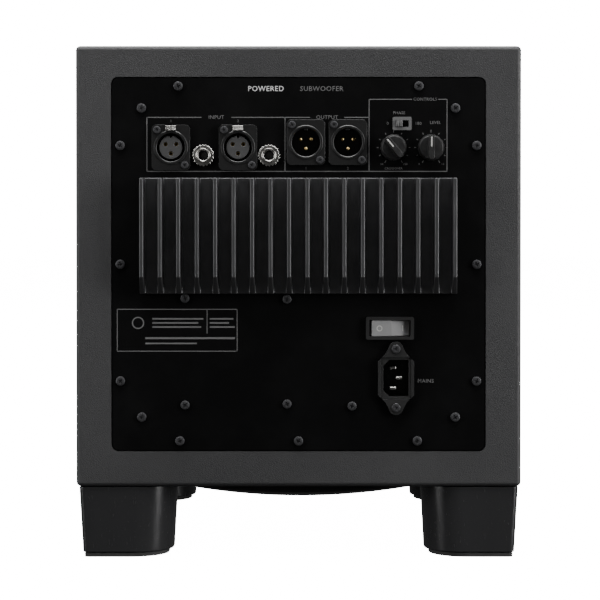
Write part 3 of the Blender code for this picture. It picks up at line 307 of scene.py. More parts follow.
vinyl, here = new_material("pebbled_vinyl", Specular_IOR_Level=0.45)
pebbles = here.cells(VINYL_GRAIN, "SMOOTH_F1")
creases = here.cells(VINYL_GRAIN, "DISTANCE_TO_EDGE").between(0.0, 0.16)
handling = here.noise(0.09, 4.0).between(0.35, 0.75)
height = creases * 0.75 + (1.0 - pebbles) * 0.25 + here.noise(0.0002) * 0.2
# The colour is darker in the creases of the grain, which is painted shade, and it also takes blotches of
# handling wear and a fine random tone.
crease_shade_and_handling = (creases * 0.55 + handling * 0.35 + here.noise(0.012, 3.0) * 0.2).between(0.1, 1.0)
paint(vinyl, Base_Color=crease_shade_and_handling.between_colours(VINYL_DARK, VINYL_LIGHT),
      Roughness=handling * 0.10 - creases * 0.06 + 0.52, Normal=height.bump(0.00012, 0.7))

wrap = stand_in("cabinet_wrap", merged("vinyl_wrap"), vinyl, "cabinet", "vinyl_wrap")
even_shading(wrap)

# Boards =====================================================================================
# Six boards of medium-density fibreboard, butted and glued, and a brace with a window in it.
# Their faces are sanded smooth, and every board has the same fibreboard finish.

MDF_PALE = (0.47, 0.34, 0.21)
MDF_BROWN = (0.35, 0.23, 0.13)

fibreboard, here = new_material("raw_fibreboard", Specular_IOR_Level=0.2)
fibres = here.noise(0.0006, 6.0, 0.7)
flecks = here.cells(0.0013).between(0.25, 0.0)
tone = (fibres * 0.6 + here.noise(0.03, 3.0) * 0.4 + flecks * 0.25).between(0.2, 0.9)
paint(fibreboard, Base_Color=tone.between_colours(MDF_PALE, MDF_BROWN), Roughness=fibres * 0.15 + 0.75,
      Normal=(fibres + flecks * 0.4).bump(0.0001, 0.5))
for board in ("top_panel", "bottom_panel", "side_panel_left", "side_panel_right", "rear_panel",
              "front_baffle", "window_brace"):
    dress(board, fibreboard)

# Wadding ====================================================================================
# A batt of polyester fibre, stapled under the top board to damp the air in the cabinet.
# It is a loose white fleece, thicker between its staples and thin at its torn edges.

STAPLE_PITCH = 0.058
FLEECE = 0.0012

fleece, here = new_material("polyester_wadding", Sheen_Weight=0.4, Sheen_Roughness=0.5,
                            Specular_IOR_Level=0.1)
strands = here.stretched((1.0, 3.5, 2.0)).noise(FLEECE * 3, 8.0, 0.75)
curls = here.noise(0.006, 4.0)
paint(fleece, Base_Color=(strands * 0.5 + curls * 0.5).between(0.3, 0.7)
      .between_colours((0.66, 0.66, 0.63), (0.86, 0.86, 0.84)),
      Roughness=strands * 0.1 + 0.88, Normal=(strands * 0.6 + curls).bump(0.0015, 0.8))

low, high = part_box("wadding")
bm = bmesh.new()
bmesh.ops.create_grid(bm, x_segments=96, y_segments=96, size=0.5)
top_middle = Vector(((low.x + high.x) / 2, (low.y + high.y) / 2, high.z))
spread = Matrix.Diagonal((high.x - low.x, high.y - low.y, 1.0, 1.0))
bmesh.ops.transform(bm, verts=bm.verts, matrix=Matrix.Translation(top_middle) @ spread)
top_face = bm.faces[:]
under = bmesh.ops.extrude_face_region(bm, geom=top_face)
for vert in [item for item in under["geom"] if isinstance(item, bmesh.types.BMVert)]:
    rim = min(vert.co.x - low.x, high.x - vert.co.x, vert.co.y - low.y, high.y - vert.co.y)
    quilt = abs(math.sin(math.pi * (vert.co.x - low.x) / STAPLE_PITCH)
                * math.sin(math.pi * (vert.co.y - low.y) / STAPLE_PITCH)) ** 0.6
    fluff = noise.fractal(vert.co * 90.0, 0.8, 2.0, 4)
    loft = (0.45 + 0.45 * quilt + 0.10 * fluff) * min(1.0, 0.25 + rim / 0.012)
    vert.co.z = high.z - (high.z - low.z) * max(0.12, min(0.98, loft))
for vert in bm.verts:
    edge = min(vert.co.x - low.x, high.x - vert.co.x, vert.co.y - low.y, high.y - vert.co.y)
    if edge < 0.0005:
        inward = (0.5 + 0.5 * noise.noise(vert.co * 60.0)) * 0.006
        middle = Vector(((low.x + high.x) / 2, (low.y + high.y) / 2, vert.co.z))
        vert.co += (middle - vert.co).normalized() * inward
batt = stand_in("wadding_batt", bm, fleece, "cabinet", "wadding", smooth=80.0)

# Feet =======================================================================================
# Four hollow mouldings in black plastic, screwed up into the bottom board from below.
# Each has a rubber pad let into its foot, and a spark-eroded satin skin.

FOOT_ROUND = 0.027
FOOT_SHARP = 0.004
FOOT_LEAN = 0.0024

satin_moulding, here = new_material("satin_moulding", Specular_IOR_Level=0.5)
eroded = here.noise(0.0004, 3.0, 0.6)
flow = here.stretched((1.0, 1.0, 0.25)).noise(0.03, 3.0)
scuffs = here.stretched((3.0, 3.0, 0.6)).noise(0.004, 5.0, 0.7).between(0.62, 0.75)
tint = (flow * 0.6 + scuffs * 0.4).between_colours((0.020, 0.020, 0.021), (0.036, 0.036, 0.037))
paint(satin_moulding, Base_Color=tint, Roughness=eroded * 0.12 + scuffs * 0.12 + 0.19,
      Normal=(eroded + flow * 0.2).bump(0.00005, 0.6))

grippy_rubber, here = new_material("grippy_rubber", Specular_IOR_Level=0.35)
bloom = here.noise(0.008, 5.0, 0.65)
grit = here.noise(0.0003, 2.0)
paint(grippy_rubber, Base_Color=bloom.between_colours((0.030, 0.030, 0.030), (0.060, 0.060, 0.058)),
      Roughness=grit * 0.1 + bloom * 0.1 + 0.68, Normal=(grit + bloom * 0.5).bump(0.00008, 0.6))


def upright_edges(bm, test):
    """The edges of a block that run up it, where a test on their middle holds."""
    return [edge for edge in bm.edges
            if abs(edge.verts[0].co.z - edge.verts[1].co.z) > 0.5 * max(edge.calc_length(), 0.000001)
            and test((edge.verts[0].co + edge.verts[1].co) / 2)]


def rounded_block(low, high, lean, round_corner, sharp_corner, outward, lip):
    """A block whose foot is drawn in, with one nearly square corner and three round ones."""
    bm = bmesh.new()
    bmesh.ops.create_cube(bm, size=1.0)
    middle = (Vector(low) + Vector(high)) / 2
    size = Vector(high) - Vector(low)
    for vert in bm.verts:
        drawn = lean if vert.co.z < 0 else 0.0
        side = Vector((math.copysign(1.0, vert.co.x), math.copysign(1.0, vert.co.y), 0.0))
        vert.co = middle + Vector((vert.co.x * size.x, vert.co.y * size.y, vert.co.z * size.z)) - side * drawn
    for corner, chosen in ((round_corner, False), (sharp_corner, True)):
        edges = upright_edges(bm, lambda place: (((place - middle).x * outward[0] > 0
                                                  and (place - middle).y * outward[1] > 0) == chosen))
        bmesh.ops.bevel(bm, geom=edges, offset=corner, segments=14 if not chosen else 5, profile=0.5,
                        affect="EDGES", material=-1)
    level = [edge for edge in bm.edges if abs(edge.verts[0].co.z - edge.verts[1].co.z) < 0.000001
             and edge.is_manifold and edge.calc_face_angle() > 1.0]
    bmesh.ops.bevel(bm, geom=level, offset=lip, segments=3, profile=0.5, affect="EDGES", material=-1)
    return bm


for fore, along in (("rear", -1), ("front", 1)):
    for side, across in (("left", -1), ("right", 1)):
        node = f"foot_{fore}_{side}"
        low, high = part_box(node)
        block = rounded_block(low, high, FOOT_LEAN, FOOT_ROUND, FOOT_SHARP, (across, along), 0.0009)
        even_shading(stand_in(f"moulded_{node}", block, satin_moulding, "cabinet", node))
        pad = f"foot_pad_{fore}_{side}"
        low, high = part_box(pad)
        block = rounded_block(low, high, 0.0, FOOT_ROUND - 0.001, FOOT_SHARP - 0.001, (across, along), 0.0006)
        even_shading(stand_in(f"rubber_{pad}", block, grippy_rubber, "cabinet", pad))

# Reflex port ================================================================================
# A flared tube moulded in black plastic, pushed into the baffle from the front and glued.
# Its mouth is flush-lipped, and it has the feet's satin finish inside and out.

PORT_WALL = 0.003
PORT_STEPS = 96
FIT_GAP = 0.0003                 # between pieces that touch


def arc(centre, radius, start, end, steps):
    """Points along an arc, with its angles in degrees."""
    turns = [math.radians(start + (end - start) * step / steps) for step in range(steps + 1)]
    return [(centre[0] + radius * math.cos(turn), centre[1] + radius * math.sin(turn)) for turn in turns]


def spun(outline, steps=64, closed=False):
    """A turned piece about Z, from its outline's points: each a radius and a height."""
    bm = bmesh.new()
    verts = [bm.verts.new((radius, 0.0, height)) for radius, height in outline]
    edges = [bm.edges.new(pair) for pair in zip(verts, verts[1:])]
    if closed:
        edges.append(bm.edges.new((verts[-1], verts[0])))
    bmesh.ops.spin(bm, geom=verts + edges, cent=(0.0, 0.0, 0.0), axis=(0.0, 0.0, 1.0),
                   angle=2 * math.pi, steps=steps, use_merge=True)
    bmesh.ops.remove_doubles(bm, verts=bm.verts, dist=0.000002)
    bmesh.ops.recalc_face_normals(bm, faces=bm.faces)
    return bm


def move(bm, matrix):
    bmesh.ops.transform(bm, matrix=matrix, verts=bm.verts)
    return bm


low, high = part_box("port_tube")
front_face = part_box("front_baffle")[1].y + VINYL_THICKNESS
port_middle = (low.z + high.z) / 2
lip = (high.x - low.x) / 2
proud = high.y - front_face
mouth_bend = 0.018
port_bore = lip - 0.006 - mouth_bend
inner_bend = 0.008
tail = low.y - front_face
outline = [(lip - 0.0008, proud), (lip, proud - 0.0008), (lip, FIT_GAP), (lip - 0.006, FIT_GAP)]
outline += arc((port_bore + mouth_bend, proud - mouth_bend), mouth_bend - PORT_WALL, 90, 180, 8)
outline += arc((port_bore + inner_bend, tail + inner_bend), inner_bend - PORT_WALL, 180, 262, 6)
outline += arc((port_bore + inner_bend, tail + inner_bend), inner_bend, 270, 180, 8)
outline += arc((port_bore + mouth_bend, proud - mouth_bend), mouth_bend, 180, 90, 16)
port = spun(outline, PORT_STEPS, closed=True)
move(port, Matrix.Translation((0.0, front_face, port_middle)) @ Matrix.Rotation(math.radians(-90), 4, "X"))
stand_in("reflex_port", port, satin_moulding, "cabinet", "port_tube", smooth=50.0)

# Power light ================================================================================
# A small domed lens of clear plastic over a light-emitting diode. It is pressed into a hole
# near the foot of the baffle.

low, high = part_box("power_led")
lens_radius = (high.x - low.x) / 2
lens_middle = (low.z + high.z) / 2
clear_lens, here = new_material("clear_lens", Transmission_Weight=0.5, IOR=1.49)
haze = here.noise(0.0006, 2.0)
paint(clear_lens, Base_Color=haze.between_colours((0.62, 0.68, 0.76), (0.80, 0.84, 0.88)),
      Roughness=haze * 0.1 + 0.12, Normal=haze.bump(0.00002, 0.3))
dome = arc((0.0, high.y - front_face - lens_radius), lens_radius, 90, 0, 8)
lens = spun(dome + [(lens_radius, low.y - front_face), (0.0, low.y - front_face)], 32)
move(lens, Matrix.Translation((0.0, front_face, lens_middle)) @ Matrix.Rotation(math.radians(-90), 4, "X"))
stand_in("power_lens", lens, clear_lens, "cabinet", "power_led")

# Driver basket and motor ====================================================================
# A basket pressed from steel and powder-coated black, with the motor's plates, magnet and can
# riveted and glued behind it. Six screws through the flange hold it under the bottom board.

BASE_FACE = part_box("bottom_panel")[0].z - VINYL_THICKNESS       # the underside of the cabinet
DRIVER_Y = (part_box("driver_frame")[0].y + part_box("driver_frame")[1].y) / 2
DRIVER_AXIS = Matrix.Translation((0.0, DRIVER_Y, BASE_FACE))
DRIVER_SCREWS = 6
DRIVER_SCREW = (0.0036, 0.0022)        # a head's radius and height
BOLT_INSET = 0.005

powder_coat, here = new_material("black_powder_coat", Specular_IOR_Level=0.5)
peel = here.noise(0.0011, 2.0, 0.4)
dust = here.noise(0.03, 5.0, 0.6).between(0.4, 0.8)
paint(powder_coat, Base_Color=dust.between_colours((0.012, 0.012, 0.013), (0.018, 0.018, 0.018)),
      Roughness=dust * 0.05 + peel * 0.08 + 0.38, Normal=peel.bump(0.00006, 0.5))

zinc_plate, here = new_material("zinc_plated_steel", Metallic=1.0)
brush = here.stretched((1.0, 1.0, 14.0)).noise(0.0012, 5.0, 0.7)
stain = here.noise(0.012, 5.0, 0.6).between(0.35, 0.75)
paint(zinc_plate, Base_Color=stain.between_colours((0.52, 0.53, 0.55), (0.40, 0.40, 0.38)),
      Roughness=brush * 0.16 + stain * 0.12 + 0.22, Normal=brush.bump(0.00002, 0.5))

ferrite, here = new_material("ground_ferrite", Specular_IOR_Level=0.4)
pits = here.cells(0.0016).between(0.28, 0.08)
scratches = here.stretched((1.0, 9.0, 1.0), (0.0, 0.0, 0.5)).noise(0.0015, 6.0, 0.7)
paint(ferrite, Base_Color=scratches.between_colours((0.035, 0.035, 0.038), (0.075, 0.075, 0.080)),
      Roughness=scratches * 0.2 + 0.42, Normal=(scratches * 0.5 - pits).bump(0.00008, 0.6))

copper_wire, here = new_material("enamelled_copper", Metallic=1.0, Coat_Weight=0.3)
WIRE = 0.00045
turns = (here.part(2) * (2 * math.pi / WIRE)).sine() * 0.5 + 0.5
paint(copper_wire, Base_Color=here.noise(0.004, 4.0).between_colours((0.66, 0.26, 0.10), (0.80, 0.40, 0.18)),
      Roughness=0.34 - turns * 0.1, Normal=turns.bump(0.0001, 0.7))

terminal_board, here = new_material("terminal_board", Specular_IOR_Level=0.4)
layers = (here.part(2) * 4200.0).sine() * 0.5 + 0.5
tint = here.noise(0.002, 5.0).between_colours((0.20, 0.11, 0.05), (0.30, 0.18, 0.09))
paint(terminal_board, Base_Color=tint, Roughness=layers * 0.1 + 0.5, Normal=layers.bump(0.00003, 0.5))

for node, surface in (("driver_frame", powder_coat), ("driver_top_plate", zinc_plate),
                      ("driver_magnet", ferrite), ("driver_back_plate", zinc_plate),
                      ("driver_shield_can", zinc_plate), ("driver_voice_coil", copper_wire),
                      ("driver_terminals", terminal_board)):
    dress(node, surface)

black_zinc, here = new_material("black_zinc", Metallic=0.85)
wear = here.noise(0.0009, 5.0, 0.7).between(0.45, 0.8)
paint(black_zinc, Base_Color=wear.between_colours((0.10, 0.10, 0.105), (0.26, 0.26, 0.27)),
      Roughness=0.42 - wear * 0.12, Normal=wear.bump(0.00003, 0.4))


def screw_head(radius, height):
    """A pan-head screw with a cross recess, its seat on the XY plane and its head up."""
    bm = bmesh.new()
    bmesh.ops.create_grid(bm, x_segments=5, y_segments=5, size=1.0)
    marks = {-5: -1.0, -3: -0.52, -1: -0.13, 1: 0.13, 3: 0.52, 5: 1.0}
    for vert in bm.verts:
        column, row = (round(value * 5) for value in vert.co.xy)
        vert.co = Vector((marks[column], marks[row], 0.0))
        if max(abs(column), abs(row)) == 5:
            vert.co.normalize()
            vert.co *= 0.80
        elif abs(column) == 3 and abs(row) == 3:
            vert.co *= 0.75
    move(bm, Matrix.Diagonal((radius, radius, 1.0, 1.0)))
    recess = []
    for face in bm.faces:
        x, y = (abs(value) for value in face.calc_center_median().xy)
        if x + y < 0.40 * radius and min(x, y) < 0.05 * radius:
            recess.append(face)
    sunk = bmesh.ops.extrude_face_region(bm, geom=recess)
    bmesh.ops.delete(bm, geom=recess, context="FACES")
    floor_verts = [item for item in sunk["geom"] if isinstance(item, bmesh.types.BMVert)]
    for vert in floor_verts:
        vert.co = Vector((vert.co.x * 0.72, vert.co.y * 0.72, -0.65 * height))
    rim = [edge for edge in bm.edges if edge.is_boundary]
    for share, drop in ((0.93, 0.10), (1.0, 0.34), (1.0, 1.0)):
        wider = bmesh.ops.extrude_edge_only(bm, edges=rim)
        rim = [item for item in wider["geom"] if isinstance(item, bmesh.types.BMEdge)]
        for vert in {vert for edge in rim for vert in edge.verts}:
            vert.co = Vector((*(vert.co.xy.normalized() * radius * share), -drop * height))
    move(bm, Matrix.Translation((0.0, 0.0, height)))
    return bm


def joined(shapes):
    """Several shapes in one mesh, each already in its place."""
    together = bmesh.new()
    for shape in shapes:
        carrier = bpy.data.meshes.new("carrier")
        shape.to_mesh(carrier)
        shape.free()
        together.from_mesh(carrier)
        bpy.data.meshes.remove(carrier)
    return together


def screws_at(places, size, to_world, spin=37.0):
    """Screw heads at places on a face, each turned as the last driver left it."""
    shapes = []
    for index, (x, y, z) in enumerate(places):
        turn = Matrix.Rotation(math.radians(20.0 + spin * index), 4, "Z")
        shapes.append(move(screw_head(*size), to_world @ Matrix.Translation((x, y, z)) @ turn))
    return joined(shapes)


flange_radius = (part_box("driver_frame")[1].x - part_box("driver_frame")[0].x) / 2
face_down = DRIVER_AXIS @ Matrix.Rotation(math.pi, 4, "X")
bolt_circle = [(point[0], point[1], 0.0) for point in
               arc((0.0, 0.0), flange_radius - BOLT_INSET, 30, 330, DRIVER_SCREWS - 1)]
stand_in("driver_screws", screws_at(bolt_circle, DRIVER_SCREW, face_down), black_zinc, "cabinet")

# Cone, dust cap and suspension ==============================================================
# The cone is pressed from long-fibre paper pulp, dyed black and coated on its face. A butyl
# rubber roll joins it to the basket, and a corrugated cloth spider centres its voice coil.

CONE_RIBS = 3
CONE_STEPS = 96
CONE_POINTS = 40                 # along half its section
COIL_FORMER = 0.0258
ROLL_RUBBER = 0.0008

pulp, here = new_material("coated_pulp", Specular_IOR_Level=0.35)
fibre_mat = here.noise(0.0009, 7.0, 0.75)
felt = here.noise(0.007, 4.0)
matted = (fibre_mat * 0.7 + felt * 0.3).between(0.3, 0.7)
paint(pulp, Base_Color=matted.between_colours((0.014, 0.014, 0.014), (0.034, 0.033, 0.032)),
      Roughness=felt * 0.15 + fibre_mat * 0.1 + 0.5, Normal=fibre_mat.bump(0.00012, 0.7))

cone_low, cone_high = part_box("driver_cone")
cone_radius = (cone_high.x - cone_low.x) / 2
edge_height = cone_low.z - BASE_FACE
neck_height = 0.033
paper = 0.0012
face = []
back = []
for step in range(CONE_POINTS + 1):
    share = step / CONE_POINTS
    radius = COIL_FORMER + (cone_radius - COIL_FORMER) * share
    height = neck_height + (edge_height - neck_height) * share
    rib = 0.00035 * max(0.0, math.cos(2 * math.pi * CONE_RIBS * share)) ** 6 if 0.25 < share < 0.95 else 0.0
    face.append((radius, height + rib))
    back.append((radius, height + rib + paper * 1.28))
stand_in("pulp_cone", move(spun(face + back[::-1], CONE_STEPS, closed=True), DRIVER_AXIS), pulp,
         "cone_assembly", "driver_cone", smooth=60.0)

cap_low, cap_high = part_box("driver_dust_cap")
cap_radius = (cap_high.x - cap_low.x) / 2
cap_rise = cap_high.z - cap_low.z
ball = (cap_radius ** 2 + cap_rise ** 2) / (2 * cap_rise)
spread = math.degrees(math.asin(cap_radius / ball))
cap_centre = (0.0, cap_low.z - BASE_FACE + ball)
shell = arc(cap_centre, ball, 270, 270 + spread, 16)
shell += arc(cap_centre, ball - paper, 270 + spread - 1, 270, 14)
stand_in("pulp_dust_cap", move(spun(shell, CONE_STEPS), DRIVER_AXIS), pulp, "cone_assembly",
         "driver_dust_cap", smooth=60.0)

butyl, here = new_material("butyl_rubber", Specular_IOR_Level=0.45)
bloom = here.noise(0.01, 5.0, 0.6)
paint(butyl, Base_Color=bloom.between_colours((0.012, 0.012, 0.012), (0.028, 0.028, 0.027)),
      Roughness=bloom * 0.2 + 0.38, Normal=here.noise(0.0005, 2.0).bump(0.00003, 0.5))


def roll(outer, inner, outer_height, inner_height, depth, inset, drop, steps=18):
    """Half an ellipse that hangs between two rims, for the surround's section."""
    points = []
    for step in range(steps + 1):
        turn = math.pi * step / steps
        line = outer_height + (inner_height - outer_height) * step / steps
        points.append(((outer + inner) / 2 + ((outer - inner) / 2 - inset) * math.cos(turn),
                       line - drop - depth * math.sin(turn)))
    return points


low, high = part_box("driver_surround")
lip_radius = (high.x - low.x) / 2
lip_top = high.z - BASE_FACE
glued = cone_radius - 0.004
under_cone = edge_height - FIT_GAP
roll_outer = lip_radius - 0.0045
roll_inner = cone_radius + 0.0005
roll_depth = -(low.z - BASE_FACE) + (lip_top + under_cone) / 2 - ROLL_RUBBER
outline = [(lip_radius, lip_top - ROLL_RUBBER)]
outline += roll(roll_outer, roll_inner, lip_top, under_cone, roll_depth, 0.0, ROLL_RUBBER)
outline += [(glued, under_cone - ROLL_RUBBER), (glued, under_cone)]
outline += roll(roll_outer, roll_inner, lip_top, under_cone, roll_depth, ROLL_RUBBER, 0.0)[::-1]
outline += [(lip_radius, lip_top)]
surround_shape = move(spun(outline, CONE_STEPS, closed=True), DRIVER_AXIS)
surround = add_object("rubber_surround", mesh_of(surround_shape, "rubber_surround", 60.0))
surround.data.materials.append(butyl)
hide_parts("driver_surround")
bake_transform(surround)

SPIDER_WAVES = 4
SPIDER_POINTS = 48
weave_cloth, here = new_material("treated_cloth", Sheen_Weight=0.15, Specular_IOR_Level=0.35)
THREAD = 0.0007
warp_way = (here.part(0) * (math.pi / THREAD)).sine()
weft_way = (here.part(1) * (math.pi / THREAD)).sine()
cloth_weave = warp_way * weft_way * 0.5 + 0.5
paint(weave_cloth, Base_Color=cloth_weave.between_colours((0.42, 0.27, 0.07), (0.66, 0.48, 0.18)),
      Roughness=cloth_weave * 0.15 + 0.62, Normal=cloth_weave.bump(0.0002, 0.8))
low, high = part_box("driver_spider")
spider_rim = (high.x - low.x) / 2
spider_top = high.z - BASE_FACE
spider_low = low.z - BASE_FACE
cloth = 0.0006
upper = []
for step in range(SPIDER_POINTS + 1):
    share = step / SPIDER_POINTS
    radius = spider_rim - (spider_rim - COIL_FORMER) * share
    sag = (spider_low + cloth - spider_top) * share
    wave = 0.0011 * math.sin(2 * math.pi * SPIDER_WAVES * share) if 0.12 < share < 0.9 else 0.0
    upper.append((radius, spider_top + sag + min(0.0, wave) * 0.8))
lower = [(radius, height - cloth) for radius, height in upper]
spider_shape = move(spun(upper + lower[::-1], 80, closed=True), DRIVER_AXIS)
spider = add_object("corrugated_spider", mesh_of(spider_shape, "corrugated_spider", 70.0))
spider.data.materials.append(weave_cloth)
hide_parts("driver_spider")
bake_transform(spider)

# Driver guard ===============================================================================
# A shallow dome punched from steel sheet, with round holes in close rows, powder-coated black.
# Its plain rim is screwed to the bottom board around the driver.

HOLE_PITCH = 0.0062
HOLE_RADIUS = 0.0022
GUARD_STEEL = 0.0010
GUARD_PLAIN = 0.008              # the unpunched border of the dome
GUARD_SIDES = 72
GUARD_LIP = 0.005
GUARD_SHOULDER = 0.004
GUARD_RISE = 0.0115
GUARD_SCREW = (0.0022, 0.0014)
GUARD_SCREW_INSET = 0.0026
ROW_PITCH = HOLE_PITCH * math.sqrt(3) / 2

low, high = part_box("driver_grille")
guard_rim = (high.x - low.x) / 2
guard_wall = guard_rim - GUARD_LIP
guard_low = low.z - BASE_FACE
guard_reach = guard_wall - GUARD_SHOULDER
guard_ball = (guard_reach ** 2 + GUARD_RISE ** 2) / (2 * GUARD_RISE)
ball_middle = guard_low + guard_ball

bm = bmesh.new()
rows = int(guard_reach / (ROW_PITCH)) + 2
bmesh.ops.create_grid(bm, x_segments=2 * rows, y_segments=2 * rows, size=1.0)
for vert in bm.verts:
    row = round(vert.co.y * rows)
    column = round(vert.co.x * rows)
    vert.co = Vector(((column + 0.5 * (row % 2)) * HOLE_PITCH, row * ROW_PITCH, 0.0))
diagonals = []
for face in bm.faces[:]:
    corners = sorted(face.verts, key=lambda vert: (vert.co.y, vert.co.x))
    odd = round(corners[0].co.y / (ROW_PITCH)) % 2
    diagonals.append((corners[1], corners[2]) if not odd else (corners[0], corners[3]))
for pair in diagonals:
    bmesh.ops.connect_verts(bm, verts=list(pair))
doomed = [vert for vert in bm.verts if vert.co.length > guard_reach + HOLE_PITCH * 1.2]
bmesh.ops.delete(bm, geom=doomed, context="VERTS")
centres = [vert for vert in bm.verts if vert.co.length < guard_reach - GUARD_PLAIN]
bmesh.ops.bevel(bm, geom=centres, offset=HOLE_RADIUS, segments=1, profile=0.5, affect="VERTICES", material=-1)
holes = []
for face in bm.faces:
    middle = face.calc_center_median()
    if len(face.verts) == 6 and all(abs((vert.co - middle).length - HOLE_RADIUS) < 0.03 * HOLE_RADIUS
                                    for vert in face.verts):
        holes.append((face, middle))
bmesh.ops.bisect_edges(bm, edges=list({edge for face, middle in holes for edge in face.edges}), cuts=1)
for face, middle in holes:
    for vert in face.verts:
        vert.co = middle + (vert.co - middle).normalized() * HOLE_RADIUS
bmesh.ops.delete(bm, geom=[face for face, middle in holes], context="FACES_ONLY")
for step in range(GUARD_SIDES):
    turn = 2 * math.pi * step / GUARD_SIDES
    outward = Vector((math.cos(turn), math.sin(turn), 0.0))
    bmesh.ops.bisect_plane(bm, geom=bm.verts[:] + bm.edges[:] + bm.faces[:], dist=0.000001,
                           plane_co=outward * guard_reach, plane_no=outward, clear_outer=True)
for vert in bm.verts:
    flat = min(vert.co.length, guard_reach)
    vert.co.z = ball_middle - math.sqrt(guard_ball ** 2 - flat ** 2)
bmesh.ops.solidify(bm, geom=bm.faces[:], thickness=-GUARD_STEEL)
dome_edge = ball_middle - math.sqrt(guard_ball ** 2 - guard_reach ** 2)
skirt = [(guard_reach - 0.0015, dome_edge)]
skirt += arc((guard_reach, dome_edge + GUARD_SHOULDER), GUARD_SHOULDER, 270, 360, 5)
skirt += [(guard_wall, -FIT_GAP - GUARD_STEEL), (guard_rim, -FIT_GAP - GUARD_STEEL), (guard_rim, -FIT_GAP),
          (guard_wall - GUARD_STEEL, -FIT_GAP)]
skirt += arc((guard_reach, dome_edge + GUARD_SHOULDER), GUARD_SHOULDER - GUARD_STEEL, 360, 270, 5)
skirt += [(guard_reach - 0.0015, dome_edge + GUARD_STEEL)]
guard = joined([bm, spun(skirt, GUARD_SIDES, closed=True)])
stand_in("punched_guard", move(guard, DRIVER_AXIS), powder_coat, "cabinet", "driver_grille",
         smooth=40.0)

guard_screws = [(point[0], point[1], FIT_GAP + GUARD_STEEL) for point in
                arc((0.0, 0.0), guard_rim - GUARD_SCREW_INSET, 0, 270, 3)]
stand_in("guard_screws", screws_at(guard_screws, GUARD_SCREW, face_down), black_zinc, "cabinet")

# Speaker lead ===============================================================================
# Two insulated copper wires twisted together. They leave the power board, pass through the
# amplifier's cover and hang in a loose curve to the driver's terminals.

LEAD_START = Vector((0.078, -0.1446, 0.195))
LEAD_EXIT = Vector((0.060, -0.1085, 0.130))
LEAD_END = Vector((0.0, -0.0518, 0.0983))
LEAD_STRAIGHT = Vector((0.0, 0.004, 0.0))
LEAD_PULL_INSIDE = Vector((0.0, 0.110, 0.0))
LEAD_PULL_OUTSIDE = Vector((0.0, 0.060, 0.0))
LEAD_HEADING = 0.3
LEAD_SAG = 0.014
LEAD_STEPS = 8
LEAD_TURN = 0.019                # the length of one full twist
WIRE_RADIUS = 0.00098


def grained(name, dark, light, grain, blotches, roughness, bump, **constants):
    """A plain moulded, printed or drawn surface: fine grain roughens it, and blotches tint it."""
    surface, here = new_material(name, **constants)
    fine = here.noise(*grain)
    tint = here.noise(*blotches) if blotches else fine
    low, swing = roughness
    return paint(surface, Base_Color=tint.between_colours(dark, light), Roughness=fine * swing + low,
                 Normal=fine.bump(*bump))


wire_skin = grained("wire_insulation", (0.016, 0.016, 0.017), (0.030, 0.029, 0.028), (0.0016, 4.0, 0.6),
                    (0.012, 3.0), (0.36, 0.18), (0.00003, 0.5), Specular_IOR_Level=0.45)


def leg(start, start_pull, end, end_pull, steps):
    """Points on a smooth curve that leaves one place and reaches the next in set directions."""
    points = []
    for step in range(steps):
        t = step / steps
        places = (2 * t ** 3 - 3 * t ** 2 + 1) * start + (3 * t ** 2 - 2 * t ** 3) * end
        points.append(places + (t ** 3 - 2 * t ** 2 + t) * start_pull + (t ** 3 - t ** 2) * end_pull)
    return points


def lead_route(steps):
    """The lead's own line, with a number of points in each of its three long legs."""
    lowest = (LEAD_EXIT + LEAD_END) / 2
    lowest.z = LEAD_END.z - LEAD_SAG
    across = Vector((LEAD_END.x - LEAD_EXIT.x, LEAD_HEADING * (LEAD_END.y - LEAD_EXIT.y), 0.0))
    route = [LEAD_START] + leg(LEAD_START + LEAD_STRAIGHT, LEAD_PULL_INSIDE, LEAD_EXIT - LEAD_STRAIGHT,
                               LEAD_PULL_INSIDE, steps)
    route.append(LEAD_EXIT - LEAD_STRAIGHT)
    route += leg(LEAD_EXIT + LEAD_STRAIGHT, LEAD_PULL_OUTSIDE, lowest, across, steps)
    route += leg(lowest, across, LEAD_END - LEAD_STRAIGHT, LEAD_PULL_OUTSIDE, steps)
    return route + [LEAD_END - LEAD_STRAIGHT, LEAD_END]


def route_length(points):
    return sum((second - first).length for first, second in zip(points, points[1:]))


def swept(name, points, radius, sides=2):
    """A round wire along a line of points, as a mesh with closed ends."""
    curve = bpy.data.curves.new(name, "CURVE")
    curve.dimensions = "3D"
    curve.bevel_depth = radius
    curve.bevel_resolution = sides
    curve.use_fill_caps = True
    spline = curve.splines.new("POLY")
    spline.points.add(len(points) - 1)
    for point, place in zip(spline.points, points):
        point.co = (*place, 1.0)
    holder = add_object(name, curve)
    bpy.context.view_layer.update()
    mesh = bpy.data.meshes.new_from_object(holder.evaluated_get(bpy.context.evaluated_depsgraph_get()))
    bm = bmesh.new()
    bm.from_mesh(mesh)
    for data, thing in ((bpy.data.objects, holder), (bpy.data.curves, curve), (bpy.data.meshes, mesh)):
        data.remove(thing)
    bmesh.ops.remove_doubles(bm, verts=bm.verts, dist=0.000001)
    return bm


fine_route = lead_route(5 * LEAD_STEPS)
side = Vector((1.0, 0.0, 0.0))
travelled = 0.0
strands = ([], [])
for index, place in enumerate(fine_route):
    ahead = fine_route[min(index + 1, len(fine_route) - 1)] - fine_route[max(index - 1, 0)]
    side = (side - side.project(ahead)).normalized()
    if index:
        travelled += (place - fine_route[index - 1]).length
    offset = Matrix.Rotation(2 * math.pi * travelled / LEAD_TURN, 3, ahead) @ side * WIRE_RADIUS
    strands[0].append(place + offset)
    strands[1].append(place - offset)
lead = stand_in("twisted_lead", joined([swept("wire", strand, WIRE_RADIUS) for strand in strands]), wire_skin,
                "cabinet", "speaker_lead", smooth=80.0)
route = lead_route(LEAD_STEPS)
route_length(route)
